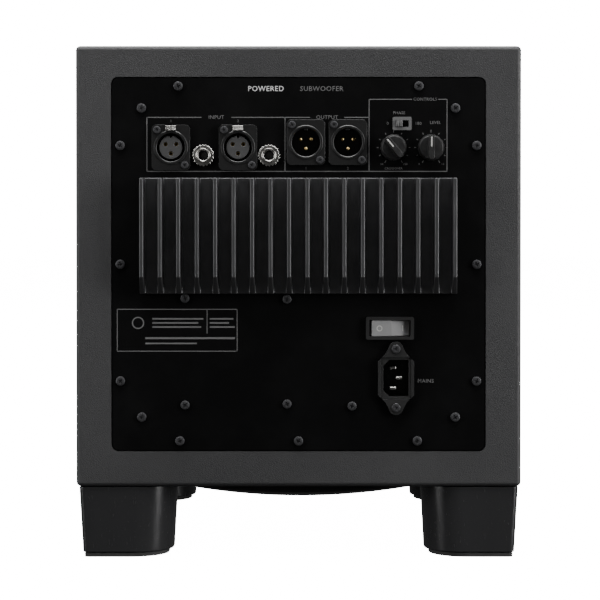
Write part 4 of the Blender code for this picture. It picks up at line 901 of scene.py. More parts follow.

# Amplifier plate ============================================================================
# A square steel plate in satin black paint, let into a rebate in the rear board on a
# foam gasket, with a galvanised cover behind it. The board inside the rebate is coloured black,
# as black paint on the recess and as painted shade in the thin gap round the plate.
# Fifteen screws hold its rim, and five what is bolted behind it.

plate_low, plate_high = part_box("amp_plate")
PLATE_FACE = plate_low.y
plate_half = (plate_high.x - plate_low.x) / 2
plate_middle = (plate_low.z + plate_high.z) / 2
ON_PLATE = Matrix.Translation((0.0, PLATE_FACE, plate_middle)) @ Matrix.Rotation(math.radians(90), 4, "X")
RIM_SCREW_INSET = 0.0055
RIM_SCREW = (0.0032, 0.0017)
INNER_SCREW = (0.0031, 0.0017)

satin_paint, here = new_material("satin_black_paint", Specular_IOR_Level=0.16)
peel = here.noise(0.0014, 2.0, 0.4)
rubbed = here.noise(0.05, 5.0, 0.6).between(0.45, 0.8)
hairlines = here.stretched((1.0, 1.0, 12.0), (0.0, 0.5, 0.0)).noise(0.006, 6.0, 0.8).between(0.66, 0.74)
tint = (rubbed * 0.6 + hairlines * 0.3).between_colours((0.0014, 0.0014, 0.0015), (0.0036, 0.0036, 0.0038))
paint(satin_paint, Base_Color=tint, Roughness=rubbed * 0.08 + peel * 0.06 - hairlines * 0.05 + 0.42,
      Normal=peel.bump(0.00004, 0.5))
dress("amp_plate", satin_paint)

REBATE_MARGIN = 0.0016
rebated, here = new_material("rebated_fibreboard", Specular_IOR_Level=0.2)
fibres = here.noise(0.0006, 6.0, 0.7)
# Black inside the rebate round the plate: black paint on the recess, and painted shade in the thin gap
# between the plate and the wrap.
rebate_paint_and_shade = ((here.part(0).absolute() < plate_half + REBATE_MARGIN)
          * ((here.part(2) - plate_middle).absolute() < plate_half + REBATE_MARGIN))
bare_board = fibres.between_colours(MDF_PALE, MDF_BROWN)
paint(rebated, Base_Color=rebate_paint_and_shade.between_colours(bare_board, (0.008, 0.008, 0.008)),
      Roughness=fibres * 0.15 + 0.72, Normal=fibres.bump(0.0001, 0.5))
dress("rear_panel", rebated)

closed_foam, here = new_material("closed_cell_foam", Specular_IOR_Level=0.2)
bubbles = here.cells(0.0008)
paint(closed_foam, Base_Color=bubbles.between_colours((0.012, 0.012, 0.012), (0.030, 0.030, 0.030)),
      Roughness=bubbles * 0.1 + 0.85, Normal=bubbles.bump(0.0002, 0.7))
dress("amp_gasket", closed_foam)

galvanised, here = new_material("galvanised_sheet", Metallic=1.0)
spangle = here.cells(0.006, output=1).part(0)
frost = here.noise(0.0015, 5.0, 0.7)
tint = (spangle * 0.7 + frost * 0.3).between_colours((0.46, 0.47, 0.48), (0.66, 0.67, 0.68))
paint(galvanised, Base_Color=tint, Roughness=spangle * 0.16 + frost * 0.1 + 0.30,
      Normal=frost.bump(0.00002, 0.4))
dress("amp_cover", galvanised)

rim_x = plate_half - RIM_SCREW_INSET
rim_places = [(side * 0.082, rim_x) for side in (-1, 1)]
rim_places += [(side * 0.107, 0.1065) for side in (-1, 1)] + [(side * 0.107, -0.1043) for side in (-1, 1)]
rim_places += [(side * rim_x, height) for side in (-1, 1) for height in (0.081, 0.0, -0.0797)]
rim_places += [(across, 0.0009 - rim_x) for across in (-0.081, 0.0, 0.081)]
plate_screws = screws_at([(x, y, 0.0) for x, y in rim_places], RIM_SCREW, ON_PLATE)
stand_in("plate_screws", plate_screws, black_zinc, "cabinet")

inner_places = [(-0.0774, -0.0232), (-0.0078, -0.0238), (-0.0774, -0.0961), (-0.0078, -0.0954),
                (0.0365, -0.0968)]
inner_screws = screws_at([(x, y, 0.0) for x, y in inner_places], INNER_SCREW, ON_PLATE, 61.0)
stand_in("transformer_screws", inner_screws, black_zinc, "cabinet")

# Printing on the plate ======================================================================
# Screen-printed pale ink: a frame around the sockets with two dividers, short plain words that
# say what each socket and control does, dial marks, and a framed panel of ruled lines.

INK_THICKNESS = 0.00006
RULE = 0.00055

INK_GRAIN = (0.0004, 4.0, 0.7)

pale_ink = grained("pale_ink", (0.55, 0.55, 0.55), (0.72, 0.72, 0.72), INK_GRAIN, None, (0.5, 0.15),
                   (0.00002, 0.4), Specular_IOR_Level=0.3)
dim_ink = grained("grey_ink", (0.105, 0.105, 0.105), (0.165, 0.165, 0.165), INK_GRAIN, None, (0.5, 0.15),
                  (0.00002, 0.4), Specular_IOR_Level=0.3)


def slab(low, high):
    """A box between two corners."""
    bm = bmesh.new()
    bmesh.ops.create_cube(bm, size=1.0)
    size = Vector(high) - Vector(low)
    middle = (Vector(high) + Vector(low)) / 2
    return move(bm, Matrix.Translation(middle) @ Matrix.Diagonal((*size, 1.0)))


def rule(start, end, width=RULE):
    """A printed line along X or Y between two places on the plate."""
    half = width / 2
    return slab((min(start[0], end[0]) - half, min(start[1], end[1]) - half, 0.0),
                (max(start[0], end[0]) + half, max(start[1], end[1]) + half, INK_THICKNESS))


def lettering(words, height, place, align="CENTER"):
    """Printed words or numbers, centred on a place on the plate unless told otherwise."""
    text = bpy.data.curves.new("lettering", "FONT")
    text.body = words
    text.size = height * 1.38
    text.align_x = align
    text.align_y = "CENTER"
    text.extrude = INK_THICKNESS / 2
    text.resolution_u = 2
    text.space_character = 1.08
    holder = add_object("lettering", text)
    bpy.context.view_layer.update()
    carrier = bpy.data.meshes.new_from_object(holder.evaluated_get(bpy.context.evaluated_depsgraph_get()))
    bm = bmesh.new()
    bm.from_mesh(carrier)
    bpy.data.objects.remove(holder)
    bpy.data.curves.remove(text)
    bpy.data.meshes.remove(carrier)
    bmesh.ops.remove_doubles(bm, verts=bm.verts, dist=0.000001)
    return move(bm, Matrix.Translation((*place, INK_THICKNESS / 2)))


def tick(centre, angle, inner, outer, width=0.00045):
    """A dial mark, pointing away from a knob's middle."""
    mark = slab((-width / 2, inner, 0.0), (width / 2, outer, INK_THICKNESS))
    return move(mark, Matrix.Translation((*centre, 0.0)) @ Matrix.Rotation(math.radians(-angle), 4, "Z"))


def socket_place(node):
    """The middle of a CAD node on the plate."""
    low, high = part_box(node)
    return ((low.x + high.x) / 2, (low.z + high.z) / 2 - plate_middle)


FRAME_LEFT = -0.1033
FRAME_RIGHT = 0.1012
FRAME_TOP = 0.1002
FRAME_BOTTOM = 0.0634
DIVIDERS = (-0.0092, 0.0481)
CONTROL_TOP = 0.1125

crossover_place = socket_place("crossover_pot")
level_place = socket_place("level_pot")
phase_place = socket_place("phase_switch_body")

LOWER_PANEL = ((-0.1237, -0.0593), (-0.0419, -0.0307))
PANEL_SPLIT = -0.0624
WORD_GAPS = ((-0.0665, -0.0455), (0.0075, 0.0315), (0.0770, 0.0955))
(panel_left, panel_bottom), (panel_right, panel_top) = LOWER_PANEL
ruled_paths = (((WORD_GAPS[0][0], FRAME_TOP), (FRAME_LEFT, FRAME_TOP), (FRAME_LEFT, FRAME_BOTTOM),
                (FRAME_RIGHT, FRAME_BOTTOM), (FRAME_RIGHT, CONTROL_TOP), (WORD_GAPS[2][1], CONTROL_TOP)),
               ((WORD_GAPS[0][1], FRAME_TOP), (WORD_GAPS[1][0], FRAME_TOP)),
               ((WORD_GAPS[1][1], FRAME_TOP), (DIVIDERS[1], FRAME_TOP)),
               ((DIVIDERS[0], FRAME_BOTTOM), (DIVIDERS[0], FRAME_TOP)),
               ((DIVIDERS[1], FRAME_BOTTOM), (DIVIDERS[1], CONTROL_TOP), (WORD_GAPS[2][0], CONTROL_TOP)),
               ((panel_left, panel_bottom), (panel_right, panel_bottom), (panel_right, panel_top),
                (panel_left, panel_top), (panel_left, panel_bottom)),
               ((PANEL_SPLIT, -0.0470), (PANEL_SPLIT, panel_top)))
rules = [rule(start, end) for path in ruled_paths for start, end in zip(path, path[1:])]
legends = (("INPUT", 0.0026, -0.0560, FRAME_TOP), ("OUTPUT", 0.0026, 0.0195, FRAME_TOP),
           ("LEVEL", 0.0020, level_place[0] + 0.0030, 0.0966),
           ("CROSSOVER", 0.0015, crossover_place[0], 0.0653),
           ("PHASE", 0.0020, phase_place[0] - 0.0020, phase_place[1] + 0.0072),
           ("0", 0.0021, phase_place[0] - 0.0098, phase_place[1]),
           ("180", 0.0021, phase_place[0] + 0.0110, phase_place[1]),
           ("CONTROLS", 0.0021, 0.0863, CONTROL_TOP),
           ("1", 0.0018, -0.0869, 0.0977), ("2", 0.0018, -0.0412, 0.0977), ("1", 0.0018, 0.0051, 0.0654),
           ("2", 0.0018, 0.0337, 0.0654), ("MAINS", 0.0026, 0.0868, -0.0797))
words = [lettering(word, height, (across, up)) for word, height, across, up in legends]
for place, ends in ((crossover_place, ("50", "150")), (level_place, ("0", "10"))):
    for step in range(11):
        words.append(tick(place, -150 + 30 * step, 0.0102, 0.0114 if step % 5 else 0.0120))
    for side, mark in zip((-1, 1), ends):
        words.append(lettering(mark, 0.0014, (place[0] + side * 0.0080, place[1] - 0.0114)))
stand_in("printed_legends", move(joined(rules + words), ON_PLATE), dim_ink, "cabinet")

TEXT_LINES = ((-0.0992, -0.0655, -0.0372), (-0.0992, -0.0690, -0.0400), (-0.0992, -0.0670, -0.0428),
              (-0.0600, -0.0450, -0.0372), (-0.0600, -0.0480, -0.0400), (-0.0600, -0.0440, -0.0428))
text_bars = [rule((left, height), (right, height), 0.0011) for left, right, height in TEXT_LINES]
text_bars += [rule((-0.1040, -0.0504), (-0.0440, -0.0504), 0.0013),
              rule((-0.1040, -0.0540), (-0.0700, -0.0540), 0.0010)]
ring = spun([(0.0042, 0.0), (0.0042, INK_THICKNESS), (0.0034, INK_THICKNESS), (0.0034, 0.0)], 32, closed=True)
text_bars.append(move(ring, Matrix.Translation((-0.1095, -0.0400, 0.0))))
stand_in("printed_panel", move(joined(text_bars), ON_PLATE), dim_ink, "cabinet")

TITLE_HEIGHT = 0.1196
title = [lettering("POWERED", 0.0036, (-0.0345, TITLE_HEIGHT), "LEFT")]
stand_in("printed_title", move(joined(title), ON_PLATE), pale_ink, "cabinet")
subtitle = [lettering("SUBWOOFER", 0.0034, (0.0010, TITLE_HEIGHT), "LEFT")]
stand_in("printed_subtitle", move(joined(subtitle), ON_PLATE), dim_ink, "cabinet")

# Heat sink ==================================================================================
# An aluminium casting, black anodised, whose upright fins carry off the output stage's heat.
# Its fins have rounded tips, and their lower ends slope back to the plate.

anodised, here = new_material("black_anodised_casting", Metallic=0.6, Specular_IOR_Level=0.6)
drawn = here.stretched((6.0, 6.0, 0.35)).noise(0.004, 6.0, 0.7)
sand = here.noise(0.0007, 3.0, 0.6)
worn = here.noise(0.02, 4.0).between(0.45, 0.8)
tint = (drawn * 0.5 + worn * 0.4).between_colours((0.052, 0.052, 0.054), (0.105, 0.105, 0.108))
paint(anodised, Base_Color=tint, Roughness=drawn * 0.16 + sand * 0.08 + 0.30,
      Normal=(drawn * 0.6 + sand * 0.6).bump(0.00006, 0.6))


def softened(piece, width, segments=2, angle=30.0):
    """Rounded edges on a finished piece, with its flat faces kept flat."""
    edge = piece.modifiers.new("edge", "BEVEL")
    edge.width = width
    edge.segments = segments
    edge.limit_method = "ANGLE"
    edge.angle_limit = math.radians(angle)
    edge.harden_normals = False
    return even_shading(piece)


sink = stand_in("finned_heat_sink", merged("heat_sink"), anodised, "cabinet", "heat_sink",
                smooth=30.0)
softened(sink, 0.0006, 3)

# Balanced inputs ============================================================================
# Two three-pin female sockets. Each is a die-cast flange and shell in black lacquer, with a
# grey insert that holds three gilt contacts, and two screws through opposite corners.

FLANGE_SIZE = (0.026, 0.031)
FLANGE_LOW = FIT_GAP
FLANGE_FACE = 0.0025
SHELL_FACE = 0.0029
SHELL_RADIUS = 0.0117
SHELL_BORE = 0.0096
SHELL_BACK = -0.024
INSERT_RADIUS = 0.0079
CONTACT_CIRCLE = 0.0042
FLANGE_SCREWS = ((-0.0095, 0.0120), (0.0095, -0.0120))
FLANGE_SCREW = (0.0026, 0.0011)
LATCH_WIDTH = 0.0076
LATCH_FOOT = 0.0111

lacquer, here = new_material("black_lacquer", Specular_IOR_Level=0.5, Coat_Weight=0.2, Coat_Roughness=0.25)
flow = here.noise(0.0015, 2.0, 0.4)
chips = here.noise(0.0006, 5.0, 0.7).between(0.60, 0.72)
paint(lacquer, Base_Color=chips.between_colours((0.011, 0.011, 0.011), (0.040, 0.040, 0.040)),
      Roughness=flow * 0.10 + chips * 0.15 + 0.30, Normal=flow.bump(0.00005, 0.4))

grey_insert, here = new_material("grey_insert", Specular_IOR_Level=0.4)
moulded = here.noise(0.0005, 3.0, 0.6)
streaks = here.stretched((1.0, 1.0, 3.0)).noise(0.004, 4.0)
paint(grey_insert, Base_Color=streaks.between_colours((0.040, 0.040, 0.041), (0.060, 0.060, 0.060)),
      Roughness=moulded * 0.15 + 0.45, Normal=moulded.bump(0.00004, 0.5))

gilt = grained("gilt_contacts", (0.62, 0.43, 0.16), (0.80, 0.60, 0.28), (0.0008, 4.0, 0.6), None,
               (0.20, 0.18), (0.00001, 0.4), Metallic=1.0)

nickel, here = new_material("nickel_plate", Metallic=1.0)
rubbed = here.noise(0.0012, 5.0, 0.65)
fingers = here.noise(0.006, 3.0).between(0.4, 0.75)
paint(nickel, Base_Color=fingers.between_colours((0.46, 0.45, 0.43), (0.62, 0.61, 0.58)),
      Roughness=rubbed * 0.14 + fingers * 0.10 + 0.20, Normal=rubbed.bump(0.00001, 0.4))


def ring(radius, place=(0.0, 0.0), steps=64):
    """A circle's outline."""
    return arc(place, radius, 0, 360 - 360 / steps, steps - 1)


def rounded(size, corner, place=(0.0, 0.0), steps=6):
    """The outline of a rectangle with round corners, about a place."""
    points = []
    for turn, (side, up) in enumerate(((1, 1), (-1, 1), (-1, -1), (1, -1))):
        centre = (place[0] + side * (size[0] / 2 - corner), place[1] + up * (size[1] / 2 - corner))
        points += arc(centre, corner, 90 * turn, 90 * turn + 90, steps)
    return points


def cut_plate(outlines, low, high):
    """A flat piece with a first outline round it and holes of the other outlines."""
    bm = bmesh.new()
    for outline in outlines:
        verts = [bm.verts.new((x, y, low)) for x, y in outline]
        for pair in zip(verts, verts[1:] + verts[:1]):
            bm.edges.new(pair)
    bmesh.ops.triangle_fill(bm, edges=bm.edges[:], use_beauty=True)
    raised = bmesh.ops.extrude_face_region(bm, geom=bm.faces[:])
    top = [item for item in raised["geom"] if isinstance(item, bmesh.types.BMVert)]
    bmesh.ops.translate(bm, verts=top, vec=(0.0, 0.0, high - low))
    bmesh.ops.recalc_face_normals(bm, faces=bm.faces)
    return bm


def at_socket(node):
    """From a socket's own middle to the plate's face."""
    return ON_PLATE @ Matrix.Translation((*socket_place(node), 0.0))


shell_outline = [(0.0, SHELL_BACK + 0.002), (SHELL_BORE, SHELL_BACK + 0.002),
                 (SHELL_BORE, SHELL_FACE - 0.0004), (SHELL_BORE + 0.0004, SHELL_FACE),
                 (SHELL_RADIUS - 0.0004, SHELL_FACE), (SHELL_RADIUS, SHELL_FACE - 0.0004),
                 (SHELL_RADIUS, SHELL_BACK), (0.0, SHELL_BACK)]
contact_places = [arc((0.0, 0.0), CONTACT_CIRCLE, angle, angle, 1)[0] for angle in (30, 150, 270)]
notched = rounded(FLANGE_SIZE, 0.003)
top_right = len(notched) // 4
notched[top_right:top_right] = [(LATCH_WIDTH / 2, FLANGE_SIZE[1] / 2), (LATCH_WIDTH / 2, LATCH_FOOT),
                                (-LATCH_WIDTH / 2, LATCH_FOOT), (-LATCH_WIDTH / 2, FLANGE_SIZE[1] / 2)]
screw_seats = [(*spot, FLANGE_FACE) for spot in FLANGE_SCREWS]
flange_screws = []
for number in (1, 2):
    node = f"xlr_input_{number}"
    there = at_socket(node)
    flange = cut_plate([notched, ring(SHELL_RADIUS - 0.0001)], FLANGE_LOW, FLANGE_FACE)
    shell = spun(shell_outline, 64)
    piece = stand_in(f"input_socket_{number}", move(joined([flange, shell]), there), lacquer, "cabinet", node)
    softened(piece, 0.0004)
    keyway = arc((0.0, 0.0), INSERT_RADIUS, 96, 444, 60) + [(0.0008, INSERT_RADIUS - 0.0014),
                                                           (-0.0008, INSERT_RADIUS - 0.0014)]
    insert = cut_plate([keyway] + [ring(0.00145, spot, 20) for spot in contact_places],
                       SHELL_BACK + 0.003, SHELL_FACE - 0.0012)
    piece = stand_in(f"input_insert_{number}", move(insert, there), grey_insert, "cabinet")
    softened(piece, 0.0003)
    sleeve = [(0.0009, 0.0), (0.0009, -0.008), (0.0013, -0.008), (0.0013, -0.0001), (0.0012, 0.0)]
    sleeves = [move(spun([(radius, height + 0.0007) for radius, height in sleeve], 20, closed=True),
                    Matrix.Translation((*spot, 0.0))) for spot in contact_places]
    stand_in(f"input_contacts_{number}", move(joined(sleeves), there), gilt, "cabinet")
    flange_screws.append(screws_at(screw_seats, FLANGE_SCREW, there, 53.0))

# Input latches ==============================================================================
# The sprung release tab over each input socket, stamped from steel and nickel-plated, with
# ridges across it for the thumb. Pressing it frees the plug.

LATCH_RIDGES = 4

for number in (1, 2):
    node = f"xlr_latch_{number}"
    low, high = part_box(node)
    width = high.x - low.x
    height = high.z - low.z
    depth = high.y - low.y
    profile = [(-height / 2, 0.0)]
    for index in range(LATCH_RIDGES * 4 + 1):
        share = index / (LATCH_RIDGES * 4)
        ridge = 0.00022 * (0.5 - 0.5 * math.cos(2 * math.pi * LATCH_RIDGES * share))
        profile.append((-height / 2 + height * share, depth - 0.00025 + ridge))
    profile.append((height / 2, 0.0))
    tab = cut_plate([profile], -width / 2, width / 2)
    across = Matrix(((0, 0, 1, 0), (1, 0, 0, 0), (0, 1, 0, 0), (0, 0, 0, 1)))
    seat = ON_PLATE @ Matrix.Translation((*socket_place(node), PLATE_FACE - high.y))
    piece = stand_in(f"input_release_{number}", move(tab, seat @ across), nickel, f"input_latch_{number}",
                     node, smooth=25.0)
    softened(piece, 0.00025, 2, 50.0)

# Balanced outputs ===========================================================================
# Two three-pin male sockets, for passing the signal on. Each has the same black flange and a
# deeper cup, with a key along its wall and three gilt pins with round tips.

CUP_FLOOR = -0.0121
PIN_RADIUS = 0.0012
PIN_LENGTH = 0.012

cup_outline = [(0.0, CUP_FLOOR), (SHELL_BORE, CUP_FLOOR), (SHELL_BORE, SHELL_FACE - 0.0006),
               (SHELL_BORE + 0.0006, SHELL_FACE), (SHELL_RADIUS - 0.0004, SHELL_FACE),
               (SHELL_RADIUS, SHELL_FACE - 0.0004), (SHELL_RADIUS, SHELL_BACK), (0.0, SHELL_BACK)]
pin_outline = [(0.0, PIN_LENGTH)] + arc((0.0, PIN_LENGTH - PIN_RADIUS), PIN_RADIUS, 80, 0, 5)
pin_outline.append((PIN_RADIUS, 0.0))
for number in (1, 2):
    node = f"xlr_output_{number}"
    there = at_socket(node)
    flange = cut_plate([rounded(FLANGE_SIZE, 0.003), ring(SHELL_RADIUS - 0.0001)], FLANGE_LOW, FLANGE_FACE)
    key = slab((-0.0011, SHELL_BORE - 0.0014, CUP_FLOOR), (0.0011, SHELL_BORE + 0.0002, SHELL_FACE - 0.0012))
    piece = stand_in(f"output_socket_{number}", move(joined([flange, spun(cup_outline, 64), key]), there),
                     lacquer, "cabinet", node)
    softened(piece, 0.0004)
    pins = [move(spun(pin_outline, 20), Matrix.Translation((spot[0], spot[1], CUP_FLOOR)))
            for spot in contact_places]
    stand_in(f"output_pins_{number}", move(joined(pins), there), gilt, "cabinet")
    flange_screws.append(screws_at(screw_seats, FLANGE_SCREW, there, 71.0))
stand_in("socket_screws", joined(flange_screws), black_zinc, "cabinet")

# Jack inputs ================================================================================
# Two quarter-inch jacks beside the balanced inputs. Each bush comes through the plate and is
# held by a bright toothed ring nut. A sprung tip contact lies at the bottom of the bore.

NUT_TEETH = 20
NUT_RADIUS = 0.0075
NUT_FACE = 0.0030
BUSH_RADIUS = 0.0055
THREAD_RADIUS = 0.0049
JACK_BODY = 0.0080
JACK_BORE = 0.0033
JACK_BACK = -0.026
PLATE_BACK = -0.0033

for number in (1, 2):
    node = f"jack_input_{number}"
    there = at_socket(node)
    teeth = []
    for index in range(NUT_TEETH * 4):
        radius = NUT_RADIUS if index % 4 in (0, 1) else NUT_RADIUS - 0.0007
        teeth.append((radius * math.cos(2 * math.pi * index / (NUT_TEETH * 4)),
                      radius * math.sin(2 * math.pi * index / (NUT_TEETH * 4))))
    nut = cut_plate([teeth, ring(THREAD_RADIUS, steps=48)], FLANGE_LOW, NUT_FACE - 0.0006)
    bush = [(0.0, JACK_BACK + 0.002), (JACK_BORE, JACK_BACK + 0.002), (JACK_BORE, NUT_FACE - 0.0007),
            (JACK_BORE + 0.0007, NUT_FACE), (0.0046, NUT_FACE), (THREAD_RADIUS, NUT_FACE - 0.0003),
            (THREAD_RADIUS, FLANGE_LOW), (BUSH_RADIUS, FLANGE_LOW), (BUSH_RADIUS, PLATE_BACK),
            (JACK_BODY, PLATE_BACK), (JACK_BODY, JACK_BACK), (0.0, JACK_BACK)]
    piece = stand_in(f"jack_{number}", move(joined([nut, spun(bush, 64)]), there), nickel, "cabinet", node)
    softened(piece, 0.00025)
    lining = [(JACK_BORE - 0.0001, -0.0005), (JACK_BORE - 0.0001, JACK_BACK + 0.0022),
              (JACK_BORE - 0.0006, JACK_BACK + 0.0022), (JACK_BORE - 0.0006, -0.0005)]
    finger = slab((-0.0008, -0.0027, JACK_BACK + 0.0022), (0.0008, -0.0022, -0.014))
    stand_in(f"jack_lining_{number}", move(joined([spun(lining, 48, closed=True), finger]), there), lacquer,
             "cabinet")

# Knobs and their potentiometers =============================================================
# Two moulded knobs with a scalloped skirt and a raised bar to grip, each with a pale line let
# into it. Each pushes on to the shaft of a potentiometer nutted behind the plate.

KNOB_RADIUS = 0.0090
KNOB_LOW = 0.0008
KNOB_FLOOR = 0.0063
KNOB_TOP = 0.0133
KNOB_REST = {"crossover": 40.0, "level": 0.0}
BAR_LENGTH = 0.0172
BAR_WIDTH = 0.0050
SKIRT_BORE = 0.0053
SKIRT_TOP = 0.0036
SHAFT_RADIUS = 0.0030
SHAFT_TOP = 0.0050
SHAFT_END = -0.0119
SCALLOPS = 16

knob_plastic, here = new_material("knob_plastic", Specular_IOR_Level=0.55)
fine = here.noise(0.0004, 3.0, 0.6)
rubbed = here.noise(0.004, 4.0).between(0.4, 0.7)
paint(knob_plastic, Base_Color=rubbed.between_colours((0.016, 0.016, 0.016), (0.032, 0.032, 0.032)),
      Roughness=fine * 0.12 + 0.30 - rubbed * 0.08, Normal=fine.bump(0.00003, 0.5))

knob_line = grained("knob_line", (0.42, 0.42, 0.40), (0.56, 0.56, 0.54), INK_GRAIN, None, (0.40, 0.15),
                    (0.00002, 0.4), Specular_IOR_Level=0.4)

for name, rest in KNOB_REST.items():
    there = at_socket(f"{name}_pot") @ Matrix.Rotation(math.radians(rest), 4, "Z")
    scallops = []
    for index in range(6 * SCALLOPS):
        angle = 2 * math.pi * index / (6 * SCALLOPS)
        radius = KNOB_RADIUS - 0.0004 * max(0.0, math.cos(SCALLOPS * angle)) ** 2
        scallops.append((radius * math.cos(angle), radius * math.sin(angle)))
    skirt = cut_plate([scallops, ring(SKIRT_BORE, steps=48)], KNOB_LOW, SKIRT_TOP)
    crown = [(0.0, 0.0048), (0.0031, 0.0048), (SKIRT_BORE, 0.0048), (SKIRT_BORE, 0.0030), (0.0084, 0.0030),
             (0.0086, 0.0037), (0.0080, KNOB_FLOOR - 0.0004), (0.0076, KNOB_FLOOR), (0.0, KNOB_FLOOR)]
    bar = cut_plate([rounded((BAR_WIDTH, BAR_LENGTH), BAR_WIDTH / 2 - 0.0001)], KNOB_FLOOR - 0.0005, KNOB_TOP)
    for vert in bar.verts:
        if vert.co.z > KNOB_FLOOR:
            vert.co.x *= 0.66
            vert.co.y *= 0.95
    rod = [(0.0, SHAFT_TOP), (SHAFT_RADIUS, SHAFT_TOP), (SHAFT_RADIUS, SHAFT_END), (0.0, SHAFT_END)]
    shaft = spun(rod, 32)
    piece = stand_in(f"{name}_knob_moulding", move(joined([skirt, spun(crown, 64), bar, shaft]), there),
                     knob_plastic, f"{name}_control", f"{name}_knob")
    softened(piece, 0.0005, 3)
    line = slab((-0.00045, 0.0006, KNOB_TOP - 0.0004), (0.00045, BAR_LENGTH / 2 - 0.0014, KNOB_TOP + 0.00005))
    stand_in(f"{name}_knob_line", move(line, there), knob_line, f"{name}_control")

pot_steel = grained("potentiometer_steel", (0.36, 0.36, 0.36), (0.50, 0.50, 0.49), (0.0010, 5.0, 0.7), None,
                    (0.28, 0.2), (0.00002, 0.5), Metallic=1.0)
for node in ("level_pot", "crossover_pot"):
    dress(node, pot_steel)

# Phase switch ===============================================================================
# A small two-way slide switch in light-grey plastic, clipped in from the front. Its slider is
# ridged for a fingernail, and slides between the two phase settings.

PHASE_BEZEL = (0.0130, 0.0090)
PHASE_CASE = (0.0110, 0.0074)
PHASE_SLOT = (0.0090, 0.0046)
PHASE_BACK = -0.0090
THUMB_TEETH = 4
THUMB_WIDTH = 0.0044
THUMB_BACK = -0.0057

light_grey = grained("light_grey_plastic", (0.090, 0.090, 0.091), (0.130, 0.130, 0.130), (0.0005, 3.0, 0.6),
                     (0.005, 4.0), (0.42, 0.15), (0.00003, 0.5), Specular_IOR_Level=0.4)
there = at_socket("phase_switch_body")
bezel = cut_plate([rounded(PHASE_BEZEL, 0.0010), rounded(PHASE_SLOT, 0.0003)], FLANGE_LOW, 0.0013)
case = cut_plate([rounded(PHASE_CASE, 0.0005), rounded(PHASE_SLOT, 0.0003)], PHASE_BACK, 0.0008)
well_floor = slab((-0.0050, -0.0030, PHASE_BACK), (0.0050, 0.0030, -0.0062))
piece = stand_in("phase_bezel", move(joined([bezel, case, well_floor]), there), light_grey, "cabinet",
                 "phase_switch_body")
softened(piece, 0.0003)
low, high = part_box("phase_switch_slider")
slider_place = ((low.x + high.x) / 2, (low.z + high.z) / 2 - plate_middle)
tooth = THUMB_WIDTH / THUMB_TEETH
teeth = [(-THUMB_WIDTH / 2, THUMB_BACK), (-THUMB_WIDTH / 2, 0.0022)]
for index in range(THUMB_TEETH):
    start = tooth * index - THUMB_WIDTH / 2
    teeth += [(start + 0.0002, 0.0028), (start + 0.0007, 0.0028), (start + tooth, 0.0021)]
teeth.append((THUMB_WIDTH / 2, THUMB_BACK))
slider = move(cut_plate([teeth[::-1]], -0.0020, 0.0020), Matrix.Rotation(math.radians(90), 4, "X"))
piece = stand_in("phase_thumb", move(slider, ON_PLATE @ Matrix.Translation((*slider_place, 0.0))), light_grey,
                 "phase_slider", "phase_switch_slider", smooth=25.0)
softened(piece, 0.00015, 2)

# Mains switch ===============================================================================
# A rocker switch for the mains, snapped into the plate: a black bezel, and a grey rocker with
# a ring and a bar on it. Its upper faces are cut to 8 degrees either side of its pivot.

ROCKER_TILT = 8.0
ROCKER_PIVOT = -0.0040
ROCKER_CREST = 0.0063
MARK_PLACE = 0.0080
SWITCH_BEZEL = (0.0327, 0.0154)
SWITCH_CASE = (0.0304, 0.0132)
SWITCH_WELL = (0.0281, 0.0113)
SWITCH_BACK = -0.0180

rocker_grey = grained("rocker_plastic", (0.20, 0.20, 0.203), (0.27, 0.27, 0.27), (0.0004, 3.0, 0.6),
                      (0.006, 4.0), (0.28, 0.12), (0.00003, 0.5), Specular_IOR_Level=0.5)
moulded_black = grained("moulded_black", (0.014, 0.014, 0.014), (0.026, 0.026, 0.026), (0.0004, 3.0, 0.6),
                        (0.008, 3.0), (0.32, 0.15), (0.00004, 0.5), Specular_IOR_Level=0.5)

there = at_socket("power_switch_housing")
bezel = cut_plate([rounded(SWITCH_BEZEL, 0.0012), rounded(SWITCH_WELL, 0.0005)], FLANGE_LOW, 0.0025)
case = cut_plate([rounded(SWITCH_CASE, 0.0005), rounded(SWITCH_WELL, 0.0003)], SWITCH_BACK, 0.0010)
well_floor = slab((-0.0145, -0.0060, SWITCH_BACK), (0.0145, 0.0060, -0.0152))
piece = stand_in("switch_bezel", move(joined([bezel, case, well_floor]), there), moulded_black, "cabinet",
                 "power_switch_housing")
softened(piece, 0.0006, 3)
piece = stand_in("rocker", merged("power_rocker"), rocker_grey, "power_key", "power_rocker",
                 smooth=20.0)
softened(piece, 0.0005, 3, 6.0)
pivot = there @ Matrix.Translation((0.0, 0.0, ROCKER_PIVOT))
tilted = pivot @ Matrix.Rotation(math.radians(ROCKER_TILT), 4, "Y")
marks = []
for side in (-1, 1):
    height = ROCKER_CREST - MARK_PLACE * math.tan(math.radians(ROCKER_TILT))
    face = (tilted @ Matrix.Translation((side * MARK_PLACE, 0.0, height))
            @ Matrix.Rotation(math.radians(side * ROCKER_TILT), 4, "Y"))
    if side < 0:
        circle = [(0.0020, -0.0002), (0.0020, 0.00006), (0.0014, 0.00006), (0.0014, -0.0002)]
        mark = spun(circle, 32, closed=True)
    else:
        mark = slab((-0.0003, -0.0019, -0.0002), (0.0003, 0.0019, 0.00006))
    marks.append(move(mark, face))
stand_in("rocker_marks", joined(marks), knob_line, "power_key")

# Mains inlet ================================================================================
# A standard three-pin inlet moulded in black plastic, with a screw through each ear. Its well
# has two corners cut off, so that the plug goes in one way round, and three flat pins.

INLET_FACE = 0.0028
INLET_WELL_FLOOR = -0.0137
EAR_SCREW = (0.0030, 0.0011)
EAR_REACH = 0.020
INLET_BODY = (0.0204, 0.0284)
INLET_BACK = -0.0220
BLADES = ((-0.002, 0.007), (0.002, 0.0), (-0.002, -0.007))
BLADE_SIZE = (0.0045, 0.0020)

